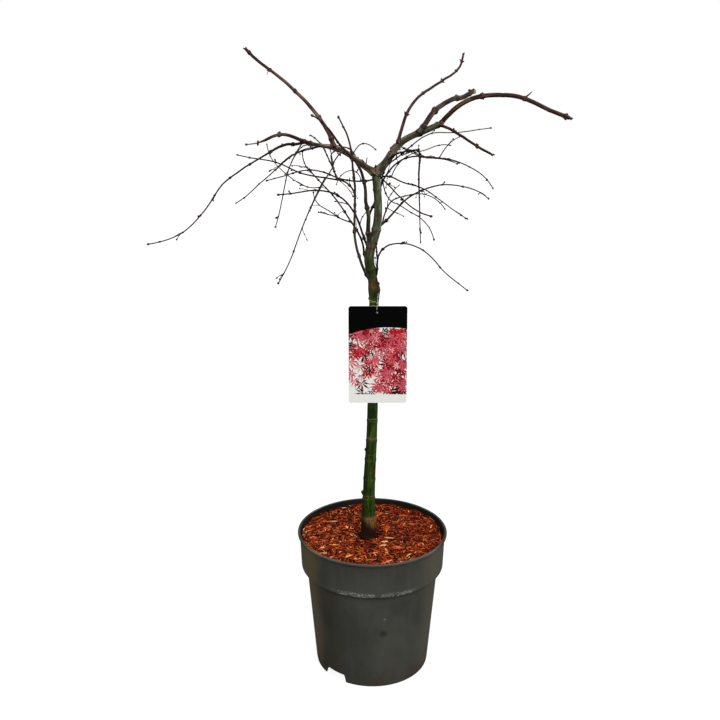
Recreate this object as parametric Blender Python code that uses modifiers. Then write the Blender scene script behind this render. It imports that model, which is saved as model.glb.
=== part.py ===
"""Potted weeping maple in winter: a bare grafted standard in a round nursery pot.

Metres, +Z up. The origin is on the pot's axis at the level the pot stands on, and -Y is the front.

Every limb is laid out by one rule. It starts on the centre line of the limb that carries it, has a
heading in plan, climbs by an angle that runs evenly through a few values from foot to tip, and has
a length and a thickness. Boughs are single tapering solids. The twig masses are several such
shoots joined into one solid, with short side twigs that a seeded rule adds at their buds.
"""

import math
import random
from typing import NamedTuple

import bmesh
import bpy
import numpy as np
from mathutils import Matrix, Vector

MM = 0.001
GAP = 0.3 * MM              # clearance between neighbouring solids
SEED = 23                   # for the side twigs

# Pot: an injection-moulded nursery pot with a deep collar
POT_HEIGHT = 0.297
RIM_RADIUS = 0.161          # over the lip
LIP_HEIGHT = 4 * MM
COLLAR_HEIGHT = 0.0775
COLLAR_TOP_RADIUS = 0.1568
COLLAR_FOOT_RADIUS = 0.1535
COLLAR_ROUNDING = 5 * MM
BODY_TOP_RADIUS = 0.142
BASE_RADIUS = 0.122
BASE_CHAMFER = 2.5 * MM
POT_WALL = 2 * MM
FLOOR_RISE = 0.018          # the floor stands this far above the bottom edge
PAD_RADIUS = 0.040          # the middle of the floor comes back down to rest on the ground
PAD_SLOPE = 6 * MM
POT_STEPS = 40
NOTCH_WIDTH = 0.057         # drainage notches in the bottom edge
NOTCH_HEIGHT = 0.0165
NOTCH_DEPTH = 0.030
NOTCH_HEADINGS = (229, 49)
DRAIN_HOLES = 6
DRAIN_RADIUS = 6 * MM
DRAIN_CIRCLE = 0.080
DRAIN_HEADING = 19          # of the first drain hole

# What fills the pot
MULCH_DROP = 0.0140         # rim to mulch at the wall
MULCH_CROWN = 2 * MM        # the mulch stands this much higher round the trunk
MULCH_DEPTH = 0.025
SOIL_TOP = POT_HEIGHT - MULCH_DROP - MULCH_DEPTH

# Trunk
TRUNK_FOOT = (-0.0085, 0.0, SOIL_TOP + GAP)
FLARE = 11 * MM             # added to the diameter at the flat cut
FLARE_REACH = 0.026
GRAFT_BULGE = 5.5 * MM      # added to the diameter at the graft
GRAFT_REACH = 0.013

# Label hung on the trunk
TAG_WIDTH = 0.1205
TAG_HEIGHT = 0.206
TAG_THICK = 0.9 * MM
TAG_CORNER = 5 * MM
TAG_CENTRE = (0.0100, -0.0165, 0.6915)
TAG_HOLE_RADIUS = 2.2 * MM
TAG_HOLE_DROP = 0.0125      # hole centre below the top edge
TAG_HOLE_SHIFT = -2 * MM
LOOP_THICK = 1.4 * MM
LOOP_HEIGHT = 0.8030        # where the loop goes round the trunk

# Fineness of the solids
RING_PITCH = 0.025
STEP = 0.003                # along a centre line
TRUNK_SIDES, BOUGH_SIDES, SHOOT_SIDES, TWIG_SIDES = 12, 10, 6, 4


class Limb(NamedTuple):
    """One limb. Angles in degrees, sizes in metres."""
    grows_from: str         # the limb that carries it
    at: float               # where on that limb, as a share of its length
    heading: float          # direction in plan: 0 is +X, 90 is +Y
    climb: tuple            # angles above level at even steps from foot to tip
    length: float
    thick: tuple            # diameters at even steps from foot to tip, in millimetres
    internode: float = 0.050
    swelling: float = 1.3   # thickness at a node over the thickness beside it


# The trunk is the rootstock up to the graft and the grafted stem above it.
ROOTSTOCK = Limb("", 0, 0, (90, 87, 90, 89), 0.567, (25.5, 22.8, 21.2, 20, 19.6, 19.4, 19.4), 0.042, 1.05)
SCION = Limb("rootstock", 1, 25, (100, 105, 65, 85, 95, 95), 0.245,
             (19.5, 18, 17, 16.2, 15, 15, 17), 0.072, 1.12)

BOUGHS = {
    "right_bough": Limb("scion", 0.98, -14, (50, 52, 24, 22), 0.165, (15, 13, 12, 11), 0.062, 1.16),
    "left_bough": Limb("scion", 0.98, 192, (34, 36, 16, 4), 0.150, (12.5, 11, 10.5, 7.5, 7), 0.055, 1.16),
    "right_arching_bough": Limb("right_bough", 0.985, -24, (60, 20, -2, -24, -22), 0.280, (9, 8.5, 8, 7.5, 7),
                                0.085, 1.25),
    "upper_right_bough": Limb("right_bough", 0.73, 28, (60, 45, 10, 30), 0.155, (10, 9.5, 9, 9), 0.052, 1.3),
    "right_upshoot": Limb("right_bough", 0.45, 42, (90, 52, 24, 20, 72), 0.280,
                          (6.5, 5.5, 5, 4.6, 4), 0.067, 1.35),
    "right_drooping_shoot": Limb("right_bough", 0.96, -48, (0, -25, -25, -25), 0.150,
                                 (5.5, 4.8, 4.2), 0.058, 1.35),
    "left_arch_tip": Limb("left_bough", 0.985, 205, (25, 15, -25, -5), 0.135, (6.5, 6, 5.2, 3), 0.045, 1.35),
    "left_upshoot": Limb("left_bough", 0.66, 160, (78, 50, 42, 28, 48), 0.275,
                         (8.5, 7, 6.2, 5.6, 4.8), 0.067, 1.3),
    "second_stem": Limb("scion", 0.37, 215, (85, 85, 85, 60, 40, 55, 10), 0.315,
                        (8, 6.8, 5.6, 4.6, 3.8, 3, 2.4), 0.050, 1.25),
    "left_long_shoot": Limb("scion", 0.06, 235, (34, 58, 94, 92, 70, 42), 0.370,
                            (4.8, 4.4, 4, 3.6, 3, 2.2), 0.052, 1.3),
}

# Each mass is one solid: the first shoot is its stem, and the others fork from it.
MASSES = {
    "right_fan_twigs": {
        "fan_stem": Limb("second_stem", 0.19, 70, (60, 25, 35, 45), 0.110, (4.4, 3.6)),
        "fan_long_twig": Limb("fan_stem", 0.97, 20, (70, 25, -5, -10, -30, -55), 0.305, (3.4, 2.8, 2)),
        "fan_fork_twig": Limb("fan_long_twig", 0.52, 40, (50, 40, 15), 0.075, (2.2, 1.6)),
        "fan_upper_stem": Limb("fan_stem", 0.97, -18, (95, 65, 30, 45), 0.080, (3, 2.5)),
        "fan_hanging_twig": Limb("fan_upper_stem", 0.96, -66, (0, 20, -130, -65, -85, -90), 0.255,
                                 (2.4, 2.2, 1.8)),
        "fan_upper_twig": Limb("fan_upper_stem", 0.96, 12, (45, 30, 0, 5, 10), 0.205, (2.4, 2, 1.7)),
    },
    "right_under_twigs": {
        "under_stem": Limb("scion", 0.93, -12, (40, -30, -10, -35, -40, -25), 0.205, (3, 2.2, 1.7)),
        "under_rising_twig": Limb("under_stem", 0.16, -45, (70, 35, 10, 20, -10), 0.170, (2, 1.7, 1.5)),
        "under_front_twig": Limb("under_stem", 0.04, -50, (-15, -35, -25, -10), 0.160, (2.6, 2.4, 2.4)),
        "under_hanging_twig": Limb("under_front_twig", 0.06, -62, (-70, -5, -15, -55), 0.225,
                                   (2.2, 1.9, 1.6)),
    },
    "right_low_twigs": {
        "low_stem": Limb("scion", 0.52, 22, (40, 45, 10, -10, -35), 0.295, (4, 3, 2.5, 2)),
        "low_back_twig": Limb("low_stem", 0.06, 50, (85, 10, 5, -15, -45), 0.255, (2.8, 2.2, 1.8)),
        "low_short_twig": Limb("low_back_twig", 0.14, 60, (-20, -15, -20), 0.075, (1.8, 1.5)),
        "low_rising_twig": Limb("low_back_twig", 0.15, 20, (100, 55, 35), 0.050, (1.7, 1.4)),
    },
    "right_foot_twigs": {
        "foot_arch": Limb("scion", 0.07, -35, (90, 45, -15, -45, -25), 0.290, (3.2, 2.6, 2.2, 1.8)),
        "foot_rising_twig": Limb("foot_arch", 0.18, 70, (135, 95, 100), 0.030, (2.2, 1.6)),
    },
    "left_foot_twigs": {
        "left_foot_stem": Limb("scion", 0.20, 150, (50, 85, 55, 45), 0.105, (4, 3.4)),
        "left_foot_long_twig": Limb("left_foot_stem", 0.97, 140, (50, 40, 35, 40, 40, 95), 0.200,
                                    (3.2, 2.6, 2)),
        "left_foot_end_twig": Limb("left_foot_long_twig", 0.84, 165, (-10, 15, -10), 0.030, (1.7, 1.4)),
        "left_foot_side_twig": Limb("left_foot_stem", 0.97, 200, (15, 35, 25, 90), 0.105, (2.6, 2, 1.6)),
        "left_foot_fork_twig": Limb("left_foot_side_twig", 0.31, 225, (15, 15, 10), 0.050, (1.8, 1.5)),
    },
    "left_low_twigs": {
        "left_low_stem": Limb("scion", 0.33, 198, (70, 70, 55, 10, -5, -5), 0.260, (4.2, 3.4, 2.8, 2.2)),
        "left_low_side_twig": Limb("left_low_stem", 0.40, 222, (25, 15, 5), 0.035, (1.8, 1.4)),
        "left_low_spur": Limb("left_low_stem", 0.22, 110, (115, 145, 155), 0.045, (1.9, 1.5)),
    },
    "left_inner_twigs": {
        "inner_stem": Limb("scion", 0.94, 150, (-15, 0, 20, 0, -20, -10), 0.275, (3.2, 2.8, 2.4, 2)),
        "inner_arch": Limb("inner_stem", 0.13, 130, (65, 10, -30, -60), 0.100, (1.8, 1.5)),
    },
    "left_middle_twigs": {
        "middle_stem": Limb("left_long_shoot", 0.54, 172, (95, 5, 10, 25, 10, 10), 0.260,
                            (3.2, 2.8, 2.4, 1.9)),
        "middle_rising_twig": Limb("middle_stem", 0.22, 105, (35, 40, 10, 0, 5), 0.285, (2.8, 2.3, 2)),
        "middle_hanging_twig": Limb("middle_stem", 0.31, 232, (-45, -50, -65, -45), 0.235, (2.4, 2.1, 1.8)),
        "middle_back_twig": Limb("middle_hanging_twig", 0.10, 160, (-10, 20, 35, 50, 80), 0.150, (1.8, 1.5)),
    },
    "left_outer_twigs": {
        "outer_twig": Limb("left_bough", 0.80, 148, (-5, -20, -40, -35, -30), 0.260, (2.6, 2.3, 1.9)),
    },
    "left_weeping_twigs": {
        "weeping_twig": Limb("left_arch_tip", 0.07, 196, (-2, -24, -34, -60, -36, -4), 0.375,
                             (3.8, 3.2, 2.6, 2)),
        "weeping_side_twig": Limb("weeping_twig", 0.02, 238, (-40, -55, -70, -65, -60), 0.180, (2.4, 2, 1.6)),
    },
    "back_left_twigs": {
        "back_left_stem": Limb("left_bough", 0.22, 102, (40, 5, -22, -45, -62), 0.330, (4, 3.2, 2.6, 2)),
        "back_left_fork": Limb("back_left_stem", 0.30, 128, (5, -15, -35, -50), 0.210, (2.4, 1.7)),
        "back_left_low_fork": Limb("back_left_stem", 0.48, 76, (-10, -30, -50), 0.160, (2.2, 1.6)),
    },
    "back_right_twigs": {
        "back_right_stem": Limb("right_bough", 0.26, 76, (35, 2, -26, -45, -60), 0.330, (4, 3.2, 2.6, 2)),
        "back_right_fork": Limb("back_right_stem", 0.32, 47, (5, -12, -32, -50), 0.200, (2.4, 1.7)),
        "back_right_low_fork": Limb("back_right_stem", 0.52, 100, (-15, -40, -55), 0.140, (2.2, 1.6)),
    },
    "front_left_twigs": {
        "front_left_stem": Limb("left_bough", 0.50, 259, (20, -8, -32, -50, -65), 0.270,
                                (3.8, 3, 2.4, 1.9)),
        "front_left_fork": Limb("front_left_stem", 0.35, 226, (0, -22, -40), 0.150, (2.2, 1.6)),
    },
    "front_right_twigs": {
        "front_right_stem": Limb("right_bough", 0.20, 284, (20, -8, -36, -55, -65), 0.260,
                                 (3.8, 3, 2.4, 1.9)),
        "front_right_fork": Limb("front_right_stem", 0.38, 312, (-5, -25, -45), 0.130, (2.2, 1.6)),
    },
}
CURLED_TWIG = Limb("left_long_shoot", 0.77, -20, (60, 55, -15, -45), 0.060, (1.9, 1.6))

# Beside its carrier, a node that starts close to another bough is cut clear of that one too.
ALSO_CUT_BY = {
    "left_bough": "right_bough",
    "right_drooping_shoot": "right_arching_bough",
    "left_weeping_twigs": "left_bough",
    "left_low_twigs": "second_stem",
}

# How far limbs stray from their one heading, in degrees
SWAY = 12                   # most that a heading sways, to one side and then to the other
NODE_KINK = 3

# Short side twigs
SIDE_TWIG_CHANCE = 0.30     # for each node of a shoot in a mass
SIDE_TWIG_LENGTH = (0.010, 0.032)
SIDE_TWIG_THICK = (1.6, 1.2)
SIDE_TWIG_CLEAR = 4 * MM    # from any other limb
SPACE_MARGIN = 0.012        # a mass's space is the box of its shoots and this much more

parts = None
cutters = None


# --- Scene and materials ---------------------------------------------------------------------------

def clear_scene():
    for thing in list(bpy.data.objects):
        bpy.data.objects.remove(thing, do_unlink=True)


def new_collection(name, parent):
    collection = bpy.data.collections.new(name)
    parent.children.link(collection)
    return collection


def material(name, colour, roughness, metallic=0.0):
    made = bpy.data.materials.new(name)
    made.use_nodes = True
    shader = made.node_tree.nodes["Principled BSDF"]
    shader.inputs["Base Color"].default_value = (*colour, 1.0)
    shader.inputs["Roughness"].default_value = roughness
    shader.inputs["Metallic"].default_value = metallic
    return made


def make_materials():
    return {
        "pot": material("dark grey plastic", (0.040, 0.042, 0.036), 0.55),
        "soil": material("potting soil", (0.020, 0.013, 0.009), 0.95),
        "mulch": material("bark mulch", (0.240, 0.050, 0.014), 0.85),
        "trunk": material("green bark", (0.050, 0.085, 0.020), 0.60),
        "bough": material("grey-brown bark", (0.090, 0.065, 0.040), 0.60),
        "shoot": material("purple-brown shoots", (0.070, 0.022, 0.020), 0.45),
        "twig": material("dark twigs", (0.028, 0.014, 0.011), 0.50),
        "tag": material("printed card", (0.80, 0.78, 0.76), 0.35),
        "loop": material("clear grey tie", (0.45, 0.46, 0.46), 0.35),
    }


def as_cutter(thing, name):
    """Names a helper solid and keeps it in its own collection, out of renders."""
    thing.name = thing.data.name = name
    for collection in list(thing.users_collection):
        collection.objects.unlink(thing)
    cutters.objects.link(thing)
    thing.hide_render = True
    thing.display_type = "WIRE"
    return thing


def boolean(thing, operation, other):
    """Adds a live Boolean; other is an object or a collection."""
    modifier = thing.modifiers.new(operation.title(), "BOOLEAN")
    modifier.operation = operation
    if isinstance(other, bpy.types.Collection):
        modifier.operand_type = "COLLECTION"
        modifier.collection = other
    else:
        modifier.object = other
    return modifier


def evaluated_mesh(thing):
    """The mesh of an object with its modifiers applied, its doubled points merged."""
    graph = bpy.context.evaluated_depsgraph_get()
    mesh = bpy.data.meshes.new_from_object(thing.evaluated_get(graph))
    shell = bmesh.new()
    shell.from_mesh(mesh)
    bmesh.ops.remove_doubles(shell, verts=shell.verts, dist=0.00001)
    shell.to_mesh(mesh)
    shell.free()
    return mesh


# --- Pot, soil and mulch ---------------------------------------------------------------------------

def wall_profile(inset):
    """The pot's side from its bottom edge to its rim, moved in towards the axis by inset.

    Below the collar the wall leans out evenly, then it steps out and runs up the collar.
    """
    collar_foot = POT_HEIGHT - COLLAR_HEIGHT + inset
    lean = (BODY_TOP_RADIUS - BASE_RADIUS) / (POT_HEIGHT - COLLAR_HEIGHT)
    side = [(BASE_RADIUS - inset + lean * FLOOR_RISE, FLOOR_RISE)]
    side.append((BODY_TOP_RADIUS - inset, collar_foot))
    rounding = COLLAR_ROUNDING - min(inset, COLLAR_ROUNDING - MM)
    for turn in (0, 30, 60, 90):
        angle = math.radians(turn)
        side.append((COLLAR_FOOT_RADIUS - inset - rounding * (1 - math.sin(angle)),
                     collar_foot + rounding * (1 - math.cos(angle))))
    side.append((COLLAR_TOP_RADIUS - inset, POT_HEIGHT - LIP_HEIGHT))
    return side


def wall_radius(inset, height):
    """Radius of the moved-in wall at a height."""
    radii, heights = zip(*wall_profile(inset))
    return float(np.interp(height, heights, radii))


def floor_profile(lift):
    """The pot's floor from its axis out: the pad in the middle, then the raised ring."""
    return [(0.0, lift), (PAD_RADIUS - lift, lift), (PAD_RADIUS + PAD_SLOPE - lift, FLOOR_RISE + lift)]


def turned(name, profile, paint):
    """Solid of revolution round Z from a profile of (radius, height) that runs down its outer side."""
    mesh = bpy.data.meshes.new(name)
    points = [(radius, 0.0, height) for radius, height in profile]
    mesh.from_pydata(points, [(i, i + 1) for i in range(len(points) - 1)], [])
    thing = bpy.data.objects.new(name, mesh)
    parts.objects.link(thing)
    thing.data.materials.append(paint)
    screw = thing.modifiers.new("Turn", "SCREW")
    screw.axis = "Z"
    screw.steps = screw.render_steps = POT_STEPS
    screw.use_merge_vertices = True
    screw.merge_threshold = 0.00001
    return thing


def cylinder_cutter(name, radius, depth, place):
    mesh = bpy.data.meshes.new("cylinder")
    shell = bmesh.new()
    bmesh.ops.create_cone(shell, cap_ends=True, segments=16, radius1=radius, radius2=radius, depth=depth,
                          matrix=Matrix.Translation(place))
    shell.to_mesh(mesh)
    shell.free()
    thing = bpy.data.objects.new("cylinder", mesh)
    parts.objects.link(thing)
    return as_cutter(thing, name)


def make_pot(paint):
    outer = [(RIM_RADIUS, POT_HEIGHT), (RIM_RADIUS, POT_HEIGHT - LIP_HEIGHT)]
    outer += [point for point in reversed(wall_profile(0.0)) if point[1] > FLOOR_RISE]
    outer += [(BASE_RADIUS, BASE_CHAMFER), (BASE_RADIUS - BASE_CHAMFER / 2, 0.0)]
    skirt = BASE_RADIUS - POT_WALL - BASE_CHAMFER / 2
    under = [(skirt, 0.0), (skirt, FLOOR_RISE)] + list(reversed(floor_profile(0.0)))
    inner = floor_profile(POT_WALL) + wall_profile(POT_WALL)
    inner[3] = (inner[3][0], FLOOR_RISE + POT_WALL)
    inner += [(COLLAR_TOP_RADIUS - POT_WALL, POT_HEIGHT)]
    pot = turned("pot", inner + outer + under, paint)

    for number, heading in enumerate(NOTCH_HEADINGS, start=1):
        mesh = bpy.data.meshes.new("notch")
        shell = bmesh.new()
        block = Matrix.Diagonal((NOTCH_DEPTH, NOTCH_WIDTH, 2 * NOTCH_HEIGHT, 1))
        bmesh.ops.create_cube(shell, size=1.0, matrix=block)
        shell.to_mesh(mesh)
        shell.free()
        cutter = bpy.data.objects.new("notch", mesh)
        parts.objects.link(cutter)
        angle = math.radians(heading)
        cutter.location = (BASE_RADIUS * math.cos(angle), BASE_RADIUS * math.sin(angle), 0.0)
        cutter.rotation_euler.z = angle
        boolean(pot, "DIFFERENCE", as_cutter(cutter, f"notch_cutter_{number}"))
    for number in range(DRAIN_HOLES):
        angle = math.radians(DRAIN_HEADING + 360 * number / DRAIN_HOLES)
        place = Vector((DRAIN_CIRCLE * math.cos(angle), DRAIN_CIRCLE * math.sin(angle), FLOOR_RISE))
        cutter = cylinder_cutter(f"drain_cutter_{number + 1}", DRAIN_RADIUS, 6 * POT_WALL, place)
        boolean(pot, "DIFFERENCE", cutter)
    return pot


def make_soil(paint):
    """Fills the pot to the underside of the mulch, GAP clear of its walls and floor."""
    inset = POT_WALL + GAP
    floor = floor_profile(inset)
    wall = [(radius, height) for radius, height in wall_profile(inset) if FLOOR_RISE < height < SOIL_TOP]
    foot = (wall_radius(inset, FLOOR_RISE), FLOOR_RISE + inset)
    top = [(0.0, SOIL_TOP), (wall_radius(inset, SOIL_TOP), SOIL_TOP)]
    return turned("potting_soil", top + list(reversed(wall)) + [foot] + list(reversed(floor)), paint)


def make_mulch(paint, trunk_cutter):
    """A layer of bark round the trunk, slightly higher in the middle."""
    inset = POT_WALL + GAP
    low, edge = SOIL_TOP + GAP, POT_HEIGHT - MULCH_DROP
    top = [(0.0, edge + MULCH_CROWN), (0.060, edge + MULCH_CROWN * 0.7), (0.110, edge + MULCH_CROWN * 0.3)]
    wall = [(wall_radius(inset, edge), edge), (wall_radius(inset, low), low)]
    mulch = turned("bark_mulch", top + wall + [(0.0, low)], paint)
    boolean(mulch, "DIFFERENCE", trunk_cutter)
    return mulch


# --- Limbs -----------------------------------------------------------------------------------------

def lay_out(foot, limb, sway=0.0, kink=0.0):
    """Centre line of a limb: short steps, each along the heading and climb angle of its place.

    The heading sways to one side and back over the length, and the limb turns by a small kink at
    each node, to and fro, as a shoot with opposite buds does.
    """
    steps = max(8, round(limb.length / STEP))
    share = (np.arange(steps) + 0.5) / steps
    stretch = np.floor(share * node_count(limb) + 0.45)
    zigzag = kink * np.where(stretch % 2 == 1, 1.0, -1.0)
    climb = np.interp(share, np.linspace(0, 1, len(limb.climb)), limb.climb) + 0.7 * zigzag
    heading = limb.heading + sway * np.sin(2 * math.pi * share) + zigzag
    climb, heading = np.radians(climb), np.radians(heading)
    ways = np.column_stack((np.cos(climb) * np.cos(heading), np.cos(climb) * np.sin(heading), np.sin(climb)))
    return foot + np.vstack((np.zeros(3), np.cumsum(ways, axis=0))) * (limb.length / steps)


def along(line, share):
    """The point at a share of a centre line's length."""
    places = np.linspace(0, 1, len(line))
    return np.array([np.interp(share, places, line[:, axis]) for axis in range(3)])


def climb_at(limb, share):
    return float(np.interp(share, np.linspace(0, 1, len(limb.climb)), limb.climb))


def radius_at(limb, share):
    """Half the thickness at a share of the length, without nodes."""
    return float(np.interp(share, np.linspace(0, 1, len(limb.thick)), limb.thick)) * MM / 2


def node_count(limb):
    return max(1, round(limb.length / limb.internode))


def node_shares(limb):
    """Where a limb has its nodes: evenly spaced along it."""
    count = node_count(limb)
    return [(number + 0.55) / count for number in range(count)]


def fork_shares(name):
    """Where other limbs start on this one."""
    groups = [BOUGHS, *MASSES.values(), {"curled_twig": CURLED_TWIG}]
    return [limb.at for group in groups for limb in group.values() if limb.grows_from == name]


def rings(name, limb, fine_nodes):
    """Shares and radii of the rings of a limb's surface: plain ones at RING_PITCH, its nodes and forks.

    With fine_nodes a node is a short collar of three rings, otherwise it is one wider ring.
    A shoot ends in a bud: it swells a little and then closes to a blunt point.
    """
    bud = 2.5 * MM / limb.length
    count = max(2, round(limb.length * (1 - bud) / RING_PITCH))
    plain = [number / count * (1 - 2 * bud) for number in range(count + 1)]
    plain += [share for share in fork_shares(name) if share < 1 - 2 * bud]
    found = {}
    for share in node_shares(limb):
        found[share] = limb.swelling
        if fine_nodes:
            reach = 1.1 * 2 * radius_at(limb, share) / limb.length
            found[max(0.001, share - reach)] = 1.0
            found[min(0.96, share + reach)] = 1.0
    for place, share in enumerate(plain):
        nearest = min(abs(share - node) for node in found)
        if nearest > 0.3 * RING_PITCH / limb.length or place in (0, count):
            found.setdefault(share, 1.0)
    shares = sorted(found)
    radii = [radius_at(limb, share) * found[share] for share in shares]
    shares += [1 - bud, 1.0]
    radii += [radius_at(limb, 1) * 1.25, radius_at(limb, 1) * 0.55]
    return shares, radii


def tube(name, points, radii, sides, closed=False):
    """A curve of straight stretches with a round section of the given radii, as a closed mesh."""
    curve = bpy.data.curves.new(name, "CURVE")
    curve.dimensions = "3D"
    curve.bevel_depth = 1.0
    curve.bevel_resolution = sides // 2 - 2
    curve.use_fill_caps = True
    spline = curve.splines.new("POLY")
    spline.points.add(len(points) - 1)
    spline.points.foreach_set("co", np.column_stack((points, np.ones(len(points)))).ravel())
    spline.points.foreach_set("radius", np.array(radii, dtype=float))
    spline.use_cyclic_u = closed
    guide = bpy.data.objects.new(name, curve)
    parts.objects.link(guide)
    mesh = evaluated_mesh(guide)
    bpy.data.objects.remove(guide)
    bpy.data.curves.remove(curve)
    thing = bpy.data.objects.new(name, mesh)
    parts.objects.link(thing)
    return thing


def limb_tube(name, line, limb, sides, grow=0.0):
    """The solid of the named limb; grow makes it that much larger all round, for a cutter."""
    shares, radii = rings(name, limb, fine_nodes=sides >= BOUGH_SIDES)
    points = [along(line, share) for share in shares]
    if grow:
        radii = [radius + grow / math.cos(math.pi / sides) for radius in radii]
        tip_way = points[-1] - points[-2]
        points[-1] = points[-1] + tip_way / np.linalg.norm(tip_way) * grow
    return tube(name, np.array(points), radii, sides)


def lay_out_tree():
    """Centre lines of all limbs by name, each carrier before what it carries."""
    lines = {"rootstock": lay_out(np.array(TRUNK_FOOT), ROOTSTOCK)}
    lines["scion"] = lay_out(lines["rootstock"][-1], SCION)
    groups = [BOUGHS, *MASSES.values(), {"curled_twig": CURLED_TWIG}]
    for group in groups:
        for name, limb in group.items():
            sway = random.Random(name).uniform(-SWAY, SWAY)
            lines[name] = lay_out(along(lines[limb.grows_from], limb.at), limb, sway, NODE_KINK)
    return lines


# --- Trunk -----------------------------------------------------------------------------------------

def trunk_rings(lines):
    """Rings of the whole trunk: rootstock and scion end to end, with the flare and the graft."""
    points, radii = [], []
    for name, limb in (("rootstock", ROOTSTOCK), ("scion", SCION)):
        extra = [0.0, 0.018, 0.045, 0.96] if name == "rootstock" else [0.06, 0.12]
        collar = 0.006 / limb.length
        shares = {share: 1.0 for share in extra}
        for share in node_shares(limb):
            shares[share] = limb.swelling
            if name == "scion":
                shares.update({share - collar: 1.0, min(share + collar, 0.995): 1.0})
        for share in np.linspace(0, 1, round(limb.length / 0.024) + 1)[1:]:
            if min(abs(share - other) for other in shares) * limb.length > 0.008 or share == 1:
                shares[float(share)] = 1.0
        for share in sorted(shares):
            points.append(along(lines[name], share))
            radii.append(radius_at(limb, share) * shares[share])
    points, radii = np.array(points), np.array(radii)
    height = points[:, 2] - TRUNK_FOOT[2]
    graft = lines["rootstock"][-1][2] - TRUNK_FOOT[2]
    radii += FLARE / 2 * np.exp(-height / FLARE_REACH)
    radii += GRAFT_BULGE / 2 * np.exp(-(((height - graft) / GRAFT_REACH) ** 2))
    return points, radii


def trunk_tube(name, lines, grow=0.0):
    points, radii = trunk_rings(lines)
    if grow:
        radii = radii + grow / math.cos(math.pi / TRUNK_SIDES)
        points[0, 2] -= 2 * grow
        points[-1, 2] += grow
    return tube(name, points, radii, TRUNK_SIDES)


def knob(name, lines, height, heading, climb, length, thick):
    """A short stub on the trunk, such as a pruned side shoot. It starts on the centre line."""
    line = np.vstack((lines["rootstock"], lines["scion"][1:]))
    foot = np.array([np.interp(height, line[:, 2], line[:, axis]) for axis in range(3)])
    stub = Limb("", 0, heading, (climb * 0.6, climb), length, thick)
    path = lay_out(foot, stub)
    shares = (0.0, 0.6, 0.9, 1.0)
    return tube(name, np.array([along(path, share) for share in shares]),
                [radius_at(stub, share) * (0.7 if share == 1 else 1.0) for share in shares], SHOOT_SIDES)


def make_trunk(paint, lines):
    """One solid from the flat cut at the soil to the fork, with its pruned stubs."""
    trunk = trunk_tube("trunk", lines)
    stubs = [
        knob("pruned_spur", lines, 0.367, 186, 72, 0.022, (9, 7, 5)),
        knob("graft_stub", lines, 0.829, -12, 45, 0.020, (12, 9, 7)),
        knob("old_bud", lines, 0.470, 185, 60, 0.0155, (9, 8, 5)),
    ]
    join(trunk, stubs)
    trunk.data.materials.clear()
    trunk.data.materials.append(paint)
    return trunk


# --- Joining and cutting ---------------------------------------------------------------------------

def join(thing, others):
    """Makes thing one solid with the others, which are removed."""
    together = new_collection("joining", bpy.context.scene.collection)
    for other in others:
        parts.objects.unlink(other)
        together.objects.link(other)
    boolean(thing, "UNION", together)
    joined = evaluated_mesh(thing)
    thing.modifiers.clear()
    thing.data = joined
    for other in others:
        bpy.data.objects.remove(other)
    bpy.data.collections.remove(together)


def cut_clear(thing, name, clear, carrier):
    """Cuts a solid GAP clear of its carrier, by the carrier's cutter that is made that much larger."""
    boolean(thing, "DIFFERENCE", clear[carrier])
    if name in ALSO_CUT_BY:
        boolean(thing, "DIFFERENCE", clear[ALSO_CUT_BY[name]])
    cleared = evaluated_mesh(thing)
    thing.modifiers.clear()
    thing.data = cleared


def finish(thing, name, paint):
    thing.name = thing.data.name = name
    thing.data.materials.clear()
    thing.data.materials.append(paint)
    thing.data.shade_smooth()
    thing.data.set_sharp_from_angle(angle=math.radians(50))
    return thing


# --- Twig masses -----------------------------------------------------------------------------------

def side_twigs(rng, lines, name, limbs):
    """Short side twigs for one mass: at some of the nodes of its shoots, to either side.

    A twig that would leave the mass's space or pass close to another limb is skipped.
    """
    own = np.vstack([lines[limb_name] for limb_name in limbs])
    low, high = own.min(axis=0) - SPACE_MARGIN, own.max(axis=0) + SPACE_MARGIN
    made = {}
    for limb_name, limb in limbs.items():
        others = np.vstack([line for other, line in lines.items() if other != limb_name])
        for number, share in enumerate(node_shares(limb)):
            if rng.random() > SIDE_TWIG_CHANCE or share > 0.9 or share < 0.12:
                continue
            side = rng.choice((-1, 1))
            twig = Limb(limb_name, share, limb.heading + side * rng.uniform(35, 70),
                        (climb_at(limb, share) + rng.uniform(5, 30), climb_at(limb, share) - 10),
                        rng.uniform(*SIDE_TWIG_LENGTH), SIDE_TWIG_THICK)
            path = lay_out(along(lines[limb_name], share), twig)
            outer = path[len(path) // 3:]
            inside = bool(np.all(path[-1] > low) and np.all(path[-1] < high))
            spans = np.linalg.norm(others[:, None, :] - outer[None, :, :], axis=2)
            if inside and spans.min() > SIDE_TWIG_CLEAR:
                made[f"{name}_side_{limb_name}_{number}"] = (twig, path)
    return made


def make_mass(name, limbs, lines, rng):
    """One solid: the shoots of a mass and its side twigs."""
    pieces = []
    for limb_name, limb in limbs.items():
        sides = SHOOT_SIDES if limb.thick[0] >= 2.4 else TWIG_SIDES
        pieces.append(limb_tube(limb_name, lines[limb_name], limb, sides))
    for twig_name, (twig, path) in side_twigs(rng, lines, name, limbs).items():
        points = np.array([along(path, share) for share in (0.0, 0.5, 0.88, 1.0)])
        radii = [radius_at(twig, 0), radius_at(twig, 0.5), radius_at(twig, 1) * 1.2, radius_at(twig, 1) * 0.5]
        pieces.append(tube(twig_name, points, radii, TWIG_SIDES))
    if len(pieces) > 1:
        join(pieces[0], pieces[1:])
    return pieces[0]


# --- Label -----------------------------------------------------------------------------------------

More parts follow.
